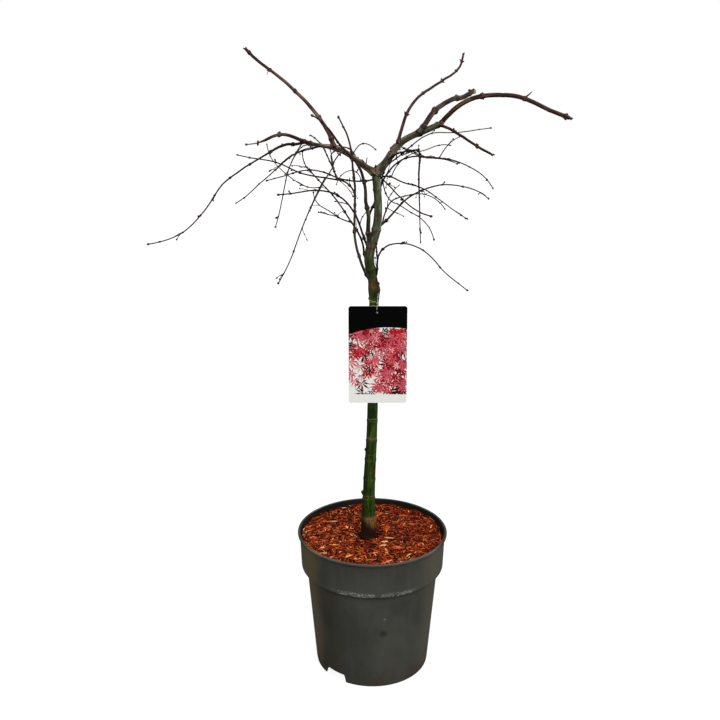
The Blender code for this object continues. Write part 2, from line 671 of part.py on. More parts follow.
def rounded_outline(width, height, radius, steps=5):
    """Points of a rectangle with round corners, counter-clockwise, centred on the origin."""
    points = []
    for turn, (side, rise) in enumerate(((1, 1), (-1, 1), (-1, -1), (1, -1))):
        centre = (side * (width / 2 - radius), rise * (height / 2 - radius))
        for step in range(steps + 1):
            angle = math.radians(90 * turn + 90 * step / steps)
            points.append((centre[0] + radius * math.cos(angle), centre[1] + radius * math.sin(angle)))
    return points


def make_tag(paint):
    """A card with round corners and a hole near its top edge, upright and facing the front."""
    hole = (TAG_HOLE_SHIFT, TAG_HEIGHT / 2 - TAG_HOLE_DROP)
    curve = bpy.data.curves.new("hang_tag", "CURVE")
    curve.dimensions = "2D"
    curve.fill_mode = "BOTH"
    curve.extrude = TAG_THICK / 2
    ring = [(hole[0] + TAG_HOLE_RADIUS * math.cos(2 * math.pi * step / 14),
             hole[1] + TAG_HOLE_RADIUS * math.sin(2 * math.pi * step / 14)) for step in range(14)]
    for outline in (rounded_outline(TAG_WIDTH, TAG_HEIGHT, TAG_CORNER), ring):
        spline = curve.splines.new("POLY")
        spline.points.add(len(outline) - 1)
        for point, (x, y) in zip(spline.points, outline):
            point.co = (x, y, 0.0, 1.0)
        spline.use_cyclic_u = True
    guide = bpy.data.objects.new("hang_tag", curve)
    parts.objects.link(guide)
    mesh = evaluated_mesh(guide)
    mesh.transform(Matrix.Translation(TAG_CENTRE) @ Matrix.Rotation(math.radians(90), 4, "X"))
    bpy.data.objects.remove(guide)
    tag = bpy.data.objects.new("hang_tag", mesh)
    parts.objects.link(tag)
    tag.data.materials.clear()
    tag.data.materials.append(paint)
    return tag


def make_loop(paint, lines):
    """A thin tie that goes round the trunk and dips through the hole of the tag.

    It runs round the trunk at GAP from the bark. Over the front third it leaves the bark, comes
    down in front of the card, goes back through the hole and rises behind the card.
    """
    line = lines["rootstock"]
    centre = np.array([np.interp(LOOP_HEIGHT, line[:, 2], line[:, axis]) for axis in range(3)])
    points, radii = trunk_rings(lines)
    bark = float(np.interp(LOOP_HEIGHT, points[:, 2], radii)) + GAP + LOOP_THICK / 2 + 0.15 * MM
    hole = np.array((TAG_CENTRE[0] + TAG_HOLE_SHIFT, TAG_CENTRE[1],
                     TAG_CENTRE[2] + TAG_HEIGHT / 2 - TAG_HOLE_DROP))
    front = LOOP_THICK / 2 + TAG_THICK / 2 + 0.5 * MM
    route = []
    for turn in range(-30, 211, 20):
        angle = math.radians(turn)
        route.append(centre + (bark * math.cos(angle), bark * math.sin(angle), 0))
    top = TAG_CENTRE[2] + TAG_HEIGHT / 2 + 1.5 * MM
    route.append(np.array((centre[0] - 0.0045, hole[1] - front, top)))
    route.append(hole + (-1.2 * MM, -front, 3 * MM))
    route.append(hole + (-0.4 * MM, -front * 0.7, 0.2 * MM))
    route.append(hole + (0.4 * MM, front * 0.7, 0.2 * MM))
    route.append(hole + (1.2 * MM, front, 3 * MM))
    route.append(np.array((centre[0] + 0.0105, hole[1] + front, top)))
    loop = tube("tag_loop", np.array(route), [LOOP_THICK / 2] * len(route), SHOOT_SIDES, closed=True)
    loop.data.materials.append(paint)
    return loop


# --- The plant -------------------------------------------------------------------------------------

def main():
    global parts, cutters
    clear_scene()
    parts = new_collection("potted_maple", bpy.context.scene.collection)
    cutters = new_collection("cutters", bpy.context.scene.collection)
    paints = make_materials()
    lines = lay_out_tree()
    rng = random.Random(SEED)

    # Each carrier has a cutter that is GAP larger all round, and what it carries is cut by that.
    clear = {"scion": as_cutter(trunk_tube("trunk", lines, GAP), "trunk_cutter")}
    carried = [limb for limb in BOUGHS.values()] + [next(iter(mass.values())) for mass in MASSES.values()]
    for name, limb in BOUGHS.items():
        if any(other.grows_from == name for other in carried) or name in ALSO_CUT_BY.values():
            larger = limb_tube(name, lines[name], limb, bough_sides(limb), GAP)
            clear[name] = as_cutter(larger, f"{name}_cutter")

    make_pot(paints["pot"])
    make_soil(paints["soil"])
    make_mulch(paints["mulch"], clear["scion"])
    make_trunk(paints["trunk"], lines)
    for name, limb in BOUGHS.items():
        bough = limb_tube(name, lines[name], limb, bough_sides(limb))
        if name == "left_long_shoot":
            join(bough, [limb_tube("curled_twig", lines["curled_twig"], CURLED_TWIG, TWIG_SIDES)])
        cut_clear(bough, name, clear, limb.grows_from)
        finish(bough, name, paints["bough" if limb.thick[0] > 8.6 else "shoot"])
    for name, limbs in MASSES.items():
        stem = next(iter(limbs.values()))
        mass = make_mass(name, limbs, lines, rng)
        cut_clear(mass, name, clear, stem.grows_from)
        finish(mass, name, paints["twig"])
    make_tag(paints["tag"])
    make_loop(paints["loop"], lines)


def bough_sides(limb):
    return BOUGH_SIDES if limb.thick[0] > 6 else SHOOT_SIDES


main()
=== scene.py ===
# Potted weeping maple in winter: the looks of every surface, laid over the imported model.
import itertools
import math
import random
from typing import NamedTuple

import bpy
import numpy as np
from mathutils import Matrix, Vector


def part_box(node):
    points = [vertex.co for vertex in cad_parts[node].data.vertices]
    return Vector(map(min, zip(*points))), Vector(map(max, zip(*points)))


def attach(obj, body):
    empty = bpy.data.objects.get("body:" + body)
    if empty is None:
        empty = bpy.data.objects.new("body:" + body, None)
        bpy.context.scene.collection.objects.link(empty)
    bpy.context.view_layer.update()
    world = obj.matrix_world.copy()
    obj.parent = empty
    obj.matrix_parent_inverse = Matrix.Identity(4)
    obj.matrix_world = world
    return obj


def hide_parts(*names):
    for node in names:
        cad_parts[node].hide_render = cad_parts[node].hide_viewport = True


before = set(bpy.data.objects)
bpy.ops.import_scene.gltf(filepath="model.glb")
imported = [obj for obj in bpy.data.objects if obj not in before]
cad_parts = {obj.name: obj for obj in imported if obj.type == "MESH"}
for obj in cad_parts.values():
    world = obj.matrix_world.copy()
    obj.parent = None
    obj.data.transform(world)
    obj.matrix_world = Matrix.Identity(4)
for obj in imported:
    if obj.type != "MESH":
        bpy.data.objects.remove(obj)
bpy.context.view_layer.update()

mm = 0.001


def addObject(name, data):
    made = bpy.data.objects.new(name, data)
    bpy.context.scene.collection.objects.link(made)
    return made


# Camera: where it stands, how far it looks down, and how far the picture is moved off its axis

viewpoint = {"place": (-0.0266, -1.7334, 1.1503), "pitch": 11.44, "focalLength": 43.05, "shiftY": -0.0806}


def setCamera():
    camera = bpy.data.cameras.new("camera")
    camera.lens, camera.sensor_width, camera.shift_y = viewpoint["focalLength"], 36.0, viewpoint["shiftY"]
    stand = addObject("camera", camera)
    stand.location = viewpoint["place"]
    stand.rotation_euler.x = math.radians(90 - viewpoint["pitch"])
    bpy.context.scene.camera = stand


setCamera()


# Shader maths written as plain formulas

class Wire:
    # One output of a shader node. Arithmetic on it adds Math nodes.
    def __init__(self, paint, socket):
        self.paint, self.socket = paint, socket

    def __add__(self, other):
        return self.paint.maths("ADD", self, other)

    def __sub__(self, other):
        return self.paint.maths("SUBTRACT", self, other)

    def __mul__(self, other):
        return self.paint.maths("MULTIPLY", self, other)

    def __rsub__(self, other):
        return self.paint.maths("SUBTRACT", other, self)

    __radd__, __rmul__ = __add__, __mul__

    def size(self):
        return self.paint.maths("ABSOLUTE", self)

    def step(self, low, high):
        # 0 at low and 1 at high with a soft shoulder; low may be above high
        return self.paint.node("MapRange", {"interpolation_type": "SMOOTHSTEP"},
                               {"Value": self, "From Min": low, "From Max": high})

    def near(self, value, reach):
        # 1 where the wire equals value, falling to 0 at reach away from it
        return (self - value).size().step(reach, 0.0)

    def out(self, name):
        return Wire(self.paint, self.socket.node.outputs[name])

    def tint(self, share, seen):
        # This colour, turned by share towards another that is given from 0 to 255
        return self.paint.mix(share, self, tone(*seen))


class Paint:
    # A material, or a world, and the nodes that lead to its surface
    def __init__(self, name, kind="materials", surface="Principled BSDF"):
        self.owner = getattr(bpy.data, kind).new(name)
        self.owner.use_nodes = True
        self.tree = self.owner.node_tree
        self.surface = self.tree.nodes[surface]

    def plug(self, socket, value):
        if isinstance(value, Wire):
            self.tree.links.new(value.socket, socket)
        else:
            socket.default_value = value

    def node(self, kind, settings=None, values=None):
        made = self.tree.nodes.new("ShaderNode" + kind)
        for key, value in (settings or {}).items():
            setattr(made, key, value)
        for key, value in (values or {}).items():
            named = (socket for socket in made.inputs if key in (socket.identifier, socket.name))
            self.plug(made.inputs[key] if isinstance(key, int) else next(named), value)
        return Wire(self, next(socket for socket in made.outputs if socket.enabled))

    def maths(self, operation, *values):
        return self.node("Math", {"operation": operation}, dict(enumerate(values)))

    def place(self, upward=1.0):
        # Object coordinates in metres, with the height scaled by upward
        here = self.node("TexCoord").out("Object")
        return self.node("Mapping", {}, {"Vector": here, "Scale": (1, 1, upward)})

    def axis(self, vector, axis="X"):
        return self.node("SeparateXYZ", {}, {"Vector": vector}).out(axis)

    def noise(self, place, scale, detail=4.0, roughness=0.55):
        return self.node("TexNoise", {}, {"Vector": place, "Scale": scale, "Detail": detail,
                                          "Roughness": roughness})

    def cells(self, place, scale):
        return self.node("TexVoronoi", {}, {"Vector": place, "Scale": scale}).out("Distance")

    def mix(self, share, first, second):
        return self.node("Mix", {"data_type": "RGBA"},
                         {"Factor_Float": share, "A_Color": first, "B_Color": second})

    def tones(self, share, first, second):
        return self.mix(share, tone(*first), tone(*second))

    def mark(self, name):
        return self.node("Attribute", {"attribute_name": name}).out("Fac")

    def grain(self, alongLimb=1.0):
        # Coordinates that follow a limb: two across it and one along it, in metres
        here = self.node("Attribute", {"attribute_name": "grain"}).out("Vector")
        return self.node("Mapping", {}, {"Vector": here, "Scale": (1, 1, alongLimb)})

    def spot(self, centre, reach, ragged):
        # 1 at a point in space, falling to 0 at a ragged reach from it
        away = self.node("VectorMath", {"operation": "DISTANCE"}, {0: self.place(), 1: centre}).out("Value")
        return (away + (ragged - 0.5) * (1.8 * reach)).step(reach, reach * 0.3)

    def dress(self, colour, rough, relief, depth, strength, gloss=0.12):
        # Relief in metres of depth. Gloss is the specular level: low on bark, soil and worn plastic
        bump = self.node("Bump", {}, {"Height": relief, "Distance": depth, "Strength": strength})
        return self.cover({"Base Color": colour, "Roughness": rough, "Normal": bump,
                           "Specular IOR Level": gloss})

    def cover(self, values):
        for name, value in values.items():
            self.plug(self.surface.inputs[name], value)
        return self.owner


def tone(red, green, blue):
    # A colour given as it is seen, from 0 to 255, as the linear value that shaders use
    seen = np.array((red, green, blue)) / 255
    linear = np.where(seen <= 0.04045, seen / 12.92, ((seen + 0.055) / 1.055) ** 2.4)
    return (*linear.tolist(), 1.0)


# Meshes from whole arrays

class Heap:
    # Grids and copies gathered for one object
    def __init__(self):
        self.points, self.quads, self.rims, self.marks, self.count = [], [], [], [], 0

    def addPoints(self, points, marks):
        points = points.reshape(-1, 3)
        self.points.append(points)
        self.marks.append({name: value.reshape(len(points), -1) for name, value in marks.items()})
        start, self.count = self.count, self.count + len(points)
        return start

    def addGrid(self, points, marks=None, ring=False):
        # points[row, column]: columns close on themselves, anticlockwise seen from the last row.
        # The first and last row are capped, or joined to each other when it is a ring.
        rows, columns = points.shape[:2]
        start = self.addPoints(points, marks or {})
        number = start + np.arange(rows * columns).reshape(rows, columns)
        if ring:
            number = np.vstack((number, number[:1]))
        beside = np.roll(number, -1, axis=1)
        corners = np.stack((number[:-1], beside[:-1], beside[1:], number[1:]), axis=-1)
        self.quads.append(corners.reshape(-1, 4))
        if not ring:
            self.rims += [number[0, ::-1], number[-1]]

    def addCopies(self, template, quads, turns, places):
        # template[copy, point] is turned by turns[copy] and moved to places[copy]
        copies, size = template.shape[:2]
        start = self.addPoints(np.einsum("cij,cpj->cpi", turns, template) + places[:, None, :], {})
        self.quads.append((start + np.arange(copies)[:, None, None] * size + quads[None]).reshape(-1, 4))

    def build(self, name, material, slotName, replaced=(), sharp=None):
        points, quads = np.vstack(self.points), np.vstack(self.quads)
        mesh = bpy.data.meshes.new(name)
        loops = np.concatenate([quads.ravel(), *self.rims])
        sizes = np.concatenate([np.full(len(quads), 4), [len(rim) for rim in self.rims]]).astype(int)
        mesh.vertices.add(len(points))
        mesh.vertices.foreach_set("co", points.ravel())
        mesh.loops.add(len(loops))
        mesh.loops.foreach_set("vertex_index", loops.astype(np.int32))
        mesh.polygons.add(len(sizes))
        mesh.polygons.foreach_set("loop_start", np.concatenate([[0], np.cumsum(sizes)[:-1]]).astype(np.int32))
        mesh.update(calc_edges=True)
        for markName in self.marks[0]:
            values = np.vstack([marks[markName] for marks in self.marks])
            kind = "FLOAT_VECTOR" if values.shape[1] == 3 else "FLOAT"
            layer = mesh.attributes.new(markName, kind, "POINT")
            layer.data.foreach_set("vector" if kind == "FLOAT_VECTOR" else "value", values.ravel())
        mesh.shade_smooth()
        if sharp is not None:
            mesh.set_sharp_from_angle(angle=math.radians(sharp))
        mesh.materials.append(material)
        piece = addObject(name, mesh)
        if replaced:
            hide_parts(*replaced)
        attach(piece, "root")
        return piece


def unit(ways):
    return ways / np.linalg.norm(ways, axis=1, keepdims=True)


def circle(count):
    return np.arange(count) * 2 * math.pi / count


def bell(away, reach):
    return np.exp(-(away / reach) ** 2)


def ripples(seed, first, second, count, firstReach, secondReach):
    # Soft random relief about 0: a sum of sines of two coordinates, with whole numbers of waves in
    # the second so that it closes round a limb
    rng = np.random.default_rng(seed)
    waves = rng.uniform(-firstReach, firstReach, count)
    turns = rng.integers(1, secondReach + 1, count) * rng.choice((-1, 1), count)
    phases = rng.uniform(0, 2 * math.pi, count)
    flat = waves * first[..., None] + turns * second[..., None] + phases
    return np.sin(flat).sum(axis=-1) / math.sqrt(count)


# Limbs: the rule that the solids follow

class Limb(NamedTuple):
    # Angles in degrees, lengths in metres, thickness in millimetres at even steps from foot to tip
    growsFrom: str
    at: float
    heading: float
    climb: tuple
    length: float
    thick: tuple
    internode: float = 0.050
    swelling: float = 1.3


rootstock = Limb("", 0, 0, (90, 87, 90, 89), 0.567, (25.5, 22.8, 21.2, 20, 19.6, 19.4, 19.4), 0.042, 1.05)
scion = Limb("rootstock", 1, 25, (100, 105, 65, 85, 95, 95), 0.245,
             (19.5, 18, 17, 16.2, 15, 15, 17), 0.072, 1.12)

boughs = {
    "right_bough": Limb("scion", 0.98, -14, (50, 52, 24, 22), 0.165, (15, 13, 12, 11), 0.062, 1.16),
    "left_bough": Limb("scion", 0.98, 192, (34, 36, 16, 4), 0.150, (12.5, 11, 10.5, 7.5, 7), 0.055, 1.16),
    "right_arching_bough": Limb("right_bough", 0.985, -24, (60, 20, -2, -24, -22), 0.280, (9, 8.5, 8, 7.5, 7),
                                0.085, 1.25),
    "upper_right_bough": Limb("right_bough", 0.73, 28, (60, 45, 10, 30), 0.155, (10, 9.5, 9, 9), 0.052, 1.3),
    "right_upshoot": Limb("right_bough", 0.45, 42, (90, 52, 24, 20, 72), 0.280,
                          (6.5, 5.5, 5, 4.6, 4), 0.067, 1.35),
    "right_drooping_shoot": Limb("right_bough", 0.96, -48, (0, -25, -25, -25), 0.150,
                                 (5.5, 4.8, 4.2), 0.058, 1.35),
    "left_arch_tip": Limb("left_bough", 0.985, 205, (25, 15, -25, -5), 0.135, (6.5, 6, 5.2, 3), 0.045, 1.35),
    "left_upshoot": Limb("left_bough", 0.66, 160, (78, 50, 42, 28, 48), 0.275,
                         (8.5, 7, 6.2, 5.6, 4.8), 0.067, 1.3),
    "second_stem": Limb("scion", 0.37, 215, (85, 85, 85, 60, 40, 55, 10), 0.315,
                        (8, 6.8, 5.6, 4.6, 3.8, 3, 2.4), 0.050, 1.25),
    "left_long_shoot": Limb("scion", 0.06, 235, (34, 58, 94, 92, 70, 42), 0.370,
                            (4.8, 4.4, 4, 3.6, 3, 2.2), 0.052, 1.3),
}

# Each mass is one solid: the first shoot is its stem, and the others fork from it.
masses = {
    "right_fan_twigs": {
        "fan_stem": Limb("second_stem", 0.19, 70, (60, 25, 35, 45), 0.110, (4.4, 3.6)),
        "fan_long_twig": Limb("fan_stem", 0.97, 20, (70, 25, -5, -10, -30, -55), 0.305, (3.4, 2.8, 2)),
        "fan_fork_twig": Limb("fan_long_twig", 0.52, 40, (50, 40, 15), 0.075, (2.2, 1.6)),
        "fan_upper_stem": Limb("fan_stem", 0.97, -18, (95, 65, 30, 45), 0.080, (3, 2.5)),
        "fan_hanging_twig": Limb("fan_upper_stem", 0.96, -66, (0, 20, -130, -65, -85, -90), 0.255,
                                 (2.4, 2.2, 1.8)),
        "fan_upper_twig": Limb("fan_upper_stem", 0.96, 12, (45, 30, 0, 5, 10), 0.205, (2.4, 2, 1.7)),
    },
    "right_under_twigs": {
        "under_stem": Limb("scion", 0.93, -12, (40, -30, -10, -35, -40, -25), 0.205, (3, 2.2, 1.7)),
        "under_rising_twig": Limb("under_stem", 0.16, -45, (70, 35, 10, 20, -10), 0.170, (2, 1.7, 1.5)),
        "under_front_twig": Limb("under_stem", 0.04, -50, (-15, -35, -25, -10), 0.160, (2.6, 2.4, 2.4)),
        "under_hanging_twig": Limb("under_front_twig", 0.06, -62, (-70, -5, -15, -55), 0.225,
                                   (2.2, 1.9, 1.6)),
    },
    "right_low_twigs": {
        "low_stem": Limb("scion", 0.52, 22, (40, 45, 10, -10, -35), 0.295, (4, 3, 2.5, 2)),
        "low_back_twig": Limb("low_stem", 0.06, 50, (85, 10, 5, -15, -45), 0.255, (2.8, 2.2, 1.8)),
        "low_short_twig": Limb("low_back_twig", 0.14, 60, (-20, -15, -20), 0.075, (1.8, 1.5)),
        "low_rising_twig": Limb("low_back_twig", 0.15, 20, (100, 55, 35), 0.050, (1.7, 1.4)),
    },
    "right_foot_twigs": {
        "foot_arch": Limb("scion", 0.07, -35, (90, 45, -15, -45, -25), 0.290, (4.4, 2.6, 2.2, 1.8)),
        "foot_rising_twig": Limb("foot_arch", 0.18, 70, (135, 95, 100), 0.030, (3.4, 2.4)),
    },
    "left_foot_twigs": {
        "left_foot_stem": Limb("scion", 0.20, 150, (50, 85, 55, 45), 0.105, (4, 3.4)),
        "left_foot_long_twig": Limb("left_foot_stem", 0.97, 140, (50, 40, 35, 40, 40, 95), 0.200,
                                    (3.2, 2.6, 2)),
        "left_foot_end_twig": Limb("left_foot_long_twig", 0.84, 165, (-10, 15, -10), 0.030, (1.7, 1.4)),
        "left_foot_side_twig": Limb("left_foot_stem", 0.97, 200, (15, 35, 25, 90), 0.105, (2.6, 2, 1.6)),
        "left_foot_fork_twig": Limb("left_foot_side_twig", 0.31, 225, (15, 15, 10), 0.050, (1.8, 1.5)),
    },
    "left_low_twigs": {
        "left_low_stem": Limb("scion", 0.33, 198, (70, 70, 55, 10, -5, -5), 0.260, (4.2, 3.4, 2.8, 2.2)),
        "left_low_side_twig": Limb("left_low_stem", 0.40, 222, (25, 15, 5), 0.035, (1.8, 1.4)),
        "left_low_spur": Limb("left_low_stem", 0.22, 110, (115, 145, 155), 0.045, (1.9, 1.5)),
    },
    "left_inner_twigs": {
        "inner_stem": Limb("scion", 0.94, 150, (-15, 0, 20, 0, -20, -10), 0.275, (3.2, 2.8, 2.4, 2)),
        "inner_arch": Limb("inner_stem", 0.13, 130, (65, 10, -30, -60), 0.100, (1.8, 1.5)),
    },
    "left_middle_twigs": {
        "middle_stem": Limb("left_long_shoot", 0.54, 172, (95, 5, 10, 25, 10, 10), 0.260,
                            (3.2, 2.8, 2.4, 1.9)),
        "middle_rising_twig": Limb("middle_stem", 0.22, 105, (35, 40, 10, 0, 5), 0.285, (2.8, 2.3, 2)),
        "middle_hanging_twig": Limb("middle_stem", 0.31, 232, (-45, -50, -65, -45), 0.235, (2.4, 2.1, 1.8)),
        "middle_back_twig": Limb("middle_hanging_twig", 0.10, 160, (-10, 20, 35, 50, 80), 0.150, (1.8, 1.5)),
    },
    "left_outer_twigs": {
        "outer_twig": Limb("left_bough", 0.80, 148, (-5, -20, -40, -35, -30), 0.260, (2.6, 2.3, 1.9)),
    },
    "left_weeping_twigs": {
        "weeping_twig": Limb("left_arch_tip", 0.07, 196, (-2, -24, -34, -60, -36, -4), 0.375,
                             (4.9, 4.6, 3.1, 2.9, 2.6, 2.4, 2.2, 2.1, 2)),
        "weeping_side_twig": Limb("weeping_twig", 0.02, 238, (-40, -55, -70, -65, -60), 0.180, (2.4, 2, 1.6)),
    },
    "back_left_twigs": {
        "back_left_stem": Limb("left_bough", 0.22, 102, (40, 5, -22, -45, -62), 0.330, (4, 3.2, 2.6, 2)),
        "back_left_fork": Limb("back_left_stem", 0.30, 128, (5, -15, -35, -50), 0.210, (2.4, 1.7)),
        "back_left_low_fork": Limb("back_left_stem", 0.48, 76, (-10, -30, -50), 0.160, (2.2, 1.6)),
    },
    "back_right_twigs": {
        "back_right_stem": Limb("right_bough", 0.26, 76, (35, 2, -26, -45, -60), 0.330, (4, 3.2, 2.6, 2)),
        "back_right_fork": Limb("back_right_stem", 0.32, 47, (5, -12, -32, -50), 0.200, (2.4, 1.7)),
        "back_right_low_fork": Limb("back_right_stem", 0.52, 100, (-15, -40, -55), 0.140, (2.2, 1.6)),
    },
    "front_left_twigs": {
        "front_left_stem": Limb("left_bough", 0.50, 259, (20, -8, -32, -50, -65), 0.270, (3.8, 3, 2.4, 1.9)),
        "front_left_fork": Limb("front_left_stem", 0.35, 226, (0, -22, -40), 0.150, (2.2, 1.6)),
    },
    "front_right_twigs": {
        "front_right_stem": Limb("right_bough", 0.20, 284, (20, -8, -36, -55, -65), 0.260,
                                 (3.8, 3, 2.4, 1.9)),
        "front_right_fork": Limb("front_right_stem", 0.38, 312, (-5, -25, -45), 0.130, (2.2, 1.6)),
    },
}
curledTwig = Limb("left_long_shoot", 0.77, -20, (60, 55, -15, -45), 0.060, (1.9, 1.6))

# The same kinks, side twigs and gaps as the solids have, then finer twigs of the scene's own
growth = {"step": 0.003, "sway": 12, "kink": 3, "seed": 23, "sideChance": 0.30, "sideLength": (0.010, 0.032),
          "sideThick": (1.6, 1.2), "sideClear": 4 * mm, "sideTurn": (35, 70), "sideFrom": 0.12, "sideTo": 0.9,
          "spaceMargin": 0.012}
openPlaces = (  # nodes that stay without a side twig
    "fan_long_twig_1", "fan_upper_twig_3", "under_front_twig_1", "low_short_twig_0", "left_foot_end_twig_0",
    "middle_stem_1", "outer_twig_2", "weeping_twig_3", "back_left_stem_1", "back_right_stem_5",
    "back_right_fork_3", "front_left_fork_1", "foot_arch_1", "left_low_spur_0", "middle_rising_twig_2",
    "back_right_stem_4", "under_hanging_twig_3")


nudges = {  # millimetres to the right, up and back, at even shares of the limb
    "right_arching_bough": ((1.8, 2.7, 1.1, 0.6, 0.5, 0.4, 0.4, 0, 0.1, 0, -0.4),
        (-0.8, -1.7, -0.1, 0.9, -1, -3.4, -2.2, -2.5, -2, -1.8, -2.1)),
    "upper_right_bough": ((-1.5, -0.3, -0.8, -0.8, 0.3, 1.1, 0.6, -0.2, 0, 0, 0.3),
        (-1.5, -2.1, -1.5, -1.3, -2.1, -2.9, -1.4, 1.7, -0.4, -0.4, -0.5), (-7, -3, 0, 0, 0)),
    "right_upshoot": ((-2.3, 0.5, 0.4, 0.7, 1.4, 0.9, -0.6, -1.3, -0.6, 1.8, -1.6),
        (2.1, 1.1, 0.7, 0, -0.9, -0.8, 1.2, 1.7, 0.3, -3, -2.3), (-5, 0, 0)),
    "second_stem": ((-1.5, -2, 0.4, -3.5, 0, 2.2, 1.3, 1.4, 1.8, -1, 2.1),
        (-0.3, -0.7, -1.2, -2.3, -2.4, -3, -3.8, -4.2, -4.3, -6.8, -2), (-3, 0, 0)),
    "left_long_shoot": ((-1.6, 0.8, 1.1, 1.4, 0.9, -0.1, 0.1, -3, -1.6, 1.2, 0.9),
        (-0.3, 2, 1.7, 1.2, 0.8, 0.4, -0.2, -0.9, -1.1, -0.9, -1.4)),
    "left_upshoot": ((-0.1, -0.3, -2, -2.5, -2.8, -3.1, -2.1, -1.7, -1.1, -1.7, -1.8),
        (2, 2, 0.7, 0.4, 0.1, -0.2, 1, 1.4, 2.3, 1.6, 1.5), (-4, 0, 0)),
    "foot_arch": ((0, 6, 4.2, 0, -4.4, -5, -2, -1, *[0] * 13), (0, 2, 0, 0, -1, 1, 2.5, 1, *[0] * 13)),
    "front_left_stem": ((0, -4.9, -8.2, -12.3, -11.3, -13.7, -16.7, -18.8, -20.6, -23.2, -28),
        (0, -8.2, -17.1, -21.1, -23.3, -21.1, -17.8, -13.6, -7.6, -0.6, 6.7)),
    "front_left_fork": ((0, 8.6, 17.4, 13.9, 9.7, 5.2, 1.1, -2.5, -5.9, -9, -12.6),
        (0, 17, 35.2, 39.9, 42.3, 43.9, 44.5, 43.5, 42.4, 40.7, 39.9)),
    "front_right_stem": ((0, 5.7, 11.5, 17.9, 26.4, 21.1, 13.1, 8.7, 7.4, 6.4, 3.3),
        (0, 5.1, 10, 17.4, 26.7, 21, 16.3, 13, 11.3, 10.2, 9)),
    "front_right_fork": ((0, -3.8, -8, -12, -14.3, -16, -15.9, -14.9, -13.3, -12.4, -12.2),
        (0, -2.9, -5.2, -5.5, -1.6, 3.1, 9, 15.5, 22.4, 28, 33.7)),
    "back_left_stem": ((0, -6.4, -5.3, -8.8, -12.8, -13.8, -9.8, -3.1, 7.2, 24.4, 40.9),
        (0, -2.9, -0.7, 0.6, -1.1, -6.1, -9.1, -9.7, -7.4, 2.8, 9.6)),
    "back_left_fork": ((0, -2.7, -5, -7.2, -10.3, -16, -18, -19.5, -20.5, -19, -17.7),
        (0, 3.7, 5.9, 8.9, 13.5, 19.8, 18.4, 15.6, 12.8, 9.3, 6.6)),
    "back_right_stem": ((0, -2.3, 5.7, 13, 22, 33.7, 40.3, 35.3, 27.2, 20.6, 17.8),
        (0, 2, -0.1, -7, -6.8, -1.6, 5.9, 3.9, 2.9, 3.5, 4.7)),
    "back_left_low_fork": ((0, 2.2, 4.5, 7.8, 10.4, 12.8, 14.3, 15.4, 16.3, 16, 15.4),
        (0, 9.3, 15.9, 15.9, 15.1, 13.3, 11.5, 9.6, 7.8, 5.8, 3.9)),
    "back_right_low_fork": ((0, -6.6, -13.4, -19.7, -23.9, -27, -30.6, -33.6, -35.4, -36, -35.7),
        (0, 4.2, 9.6, 15.1, 16.1, 14, 11.9, 9.4, 6.6, 3.7, 0.6)),
    "back_right_fork": ((0, -2.9, -5.5, -7.4, -9, -9, -7.6, -4.9, -0.9, 3.6, 8.8),
        (0, -6, -11.6, -15.4, -17.3, -11.6, -3.5, 4.9, 14.2, 23, 32.9)),
    "weeping_twig": ((0,), (0, -1.8, 1.7, 0.5, -2.7, -3.2, -3, -2.6, -4, -3, *[0] * 11)),
    "fan_hanging_twig": ((1.9, 1.6, 1.2, 1.4, 2.3, 2.6, -2, -2.4, -2.3, 0.6, 2.7, 2, 1.5, 0, -1.6, -1.7,
         -1.9, -1.6, -1.2, -0.8, -0.5),
        (-1.5, 0.9, 2.4, 2.1, 0, 1.4, 1.6, 1, 0.7, 0.1, -0.3, -0.6, -0.8, -1.1, -1.4, -1.6, -1.7, -1.9,
         -2.1, -2.2, -2.4)),
}


def spread(table, share):
    # The value of an evenly spaced table at a share of its length
    return np.interp(share, np.linspace(0, 1, len(table)), table)


def nodeCount(limb):
    return max(1, round(limb.length / limb.internode))


def nodeShares(limb):
    return (np.arange(nodeCount(limb)) + 0.55) / nodeCount(limb)


def layOut(foot, limb, sway=0.0, kink=0.0):
    # Centre line: the sum of short steps, each along the heading and climb of its place. The heading
    # sways as one sine wave, and both turn to and fro by the kink from node to node.
    steps = max(8, round(limb.length / growth["step"]))
    share = (np.arange(steps) + 0.5) / steps
    zigzag = kink * np.where(np.floor(share * nodeCount(limb) + 0.45) % 2 == 1, 1.0, -1.0)
    climb = spread(limb.climb, share) + 0.7 * zigzag
    heading = limb.heading + sway * np.sin(2 * math.pi * share) + zigzag
    climb, heading = np.radians(climb), np.radians(heading)
    ways = np.column_stack((np.cos(climb) * np.cos(heading), np.cos(climb) * np.sin(heading), np.sin(climb)))
    return foot + np.vstack((np.zeros(3), np.cumsum(ways, axis=0))) * (limb.length / steps)


def along(line, share):
    return np.stack([spread(line[:, axis], share) for axis in range(3)], axis=-1)


def nudge(line, moves):
    # Moves the line's points by tables over its length; a table that is left out moves nothing
    right, up, back = (spread(table, np.linspace(0, 1, len(line))) for table in (*moves, (0,), (0,))[:3])
    return line + np.column_stack((right, back, up)) * mm


def layOutTree():
    lines = {"rootstock": layOut(np.array((-0.0085, 0.0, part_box("trunk")[0].z)), rootstock)}
    lines["scion"] = layOut(lines["rootstock"][-1], scion)
    for group in (boughs, *masses.values(), {"curled_twig": curledTwig}):
        for name, limb in group.items():
            sway = random.Random(name).uniform(-growth["sway"], growth["sway"])
            lines[name] = layOut(along(lines[limb.growsFrom], limb.at), limb, sway, growth["kink"])
            if name in nudges:
                lines[name] = nudge(lines[name], nudges[name])
    return lines


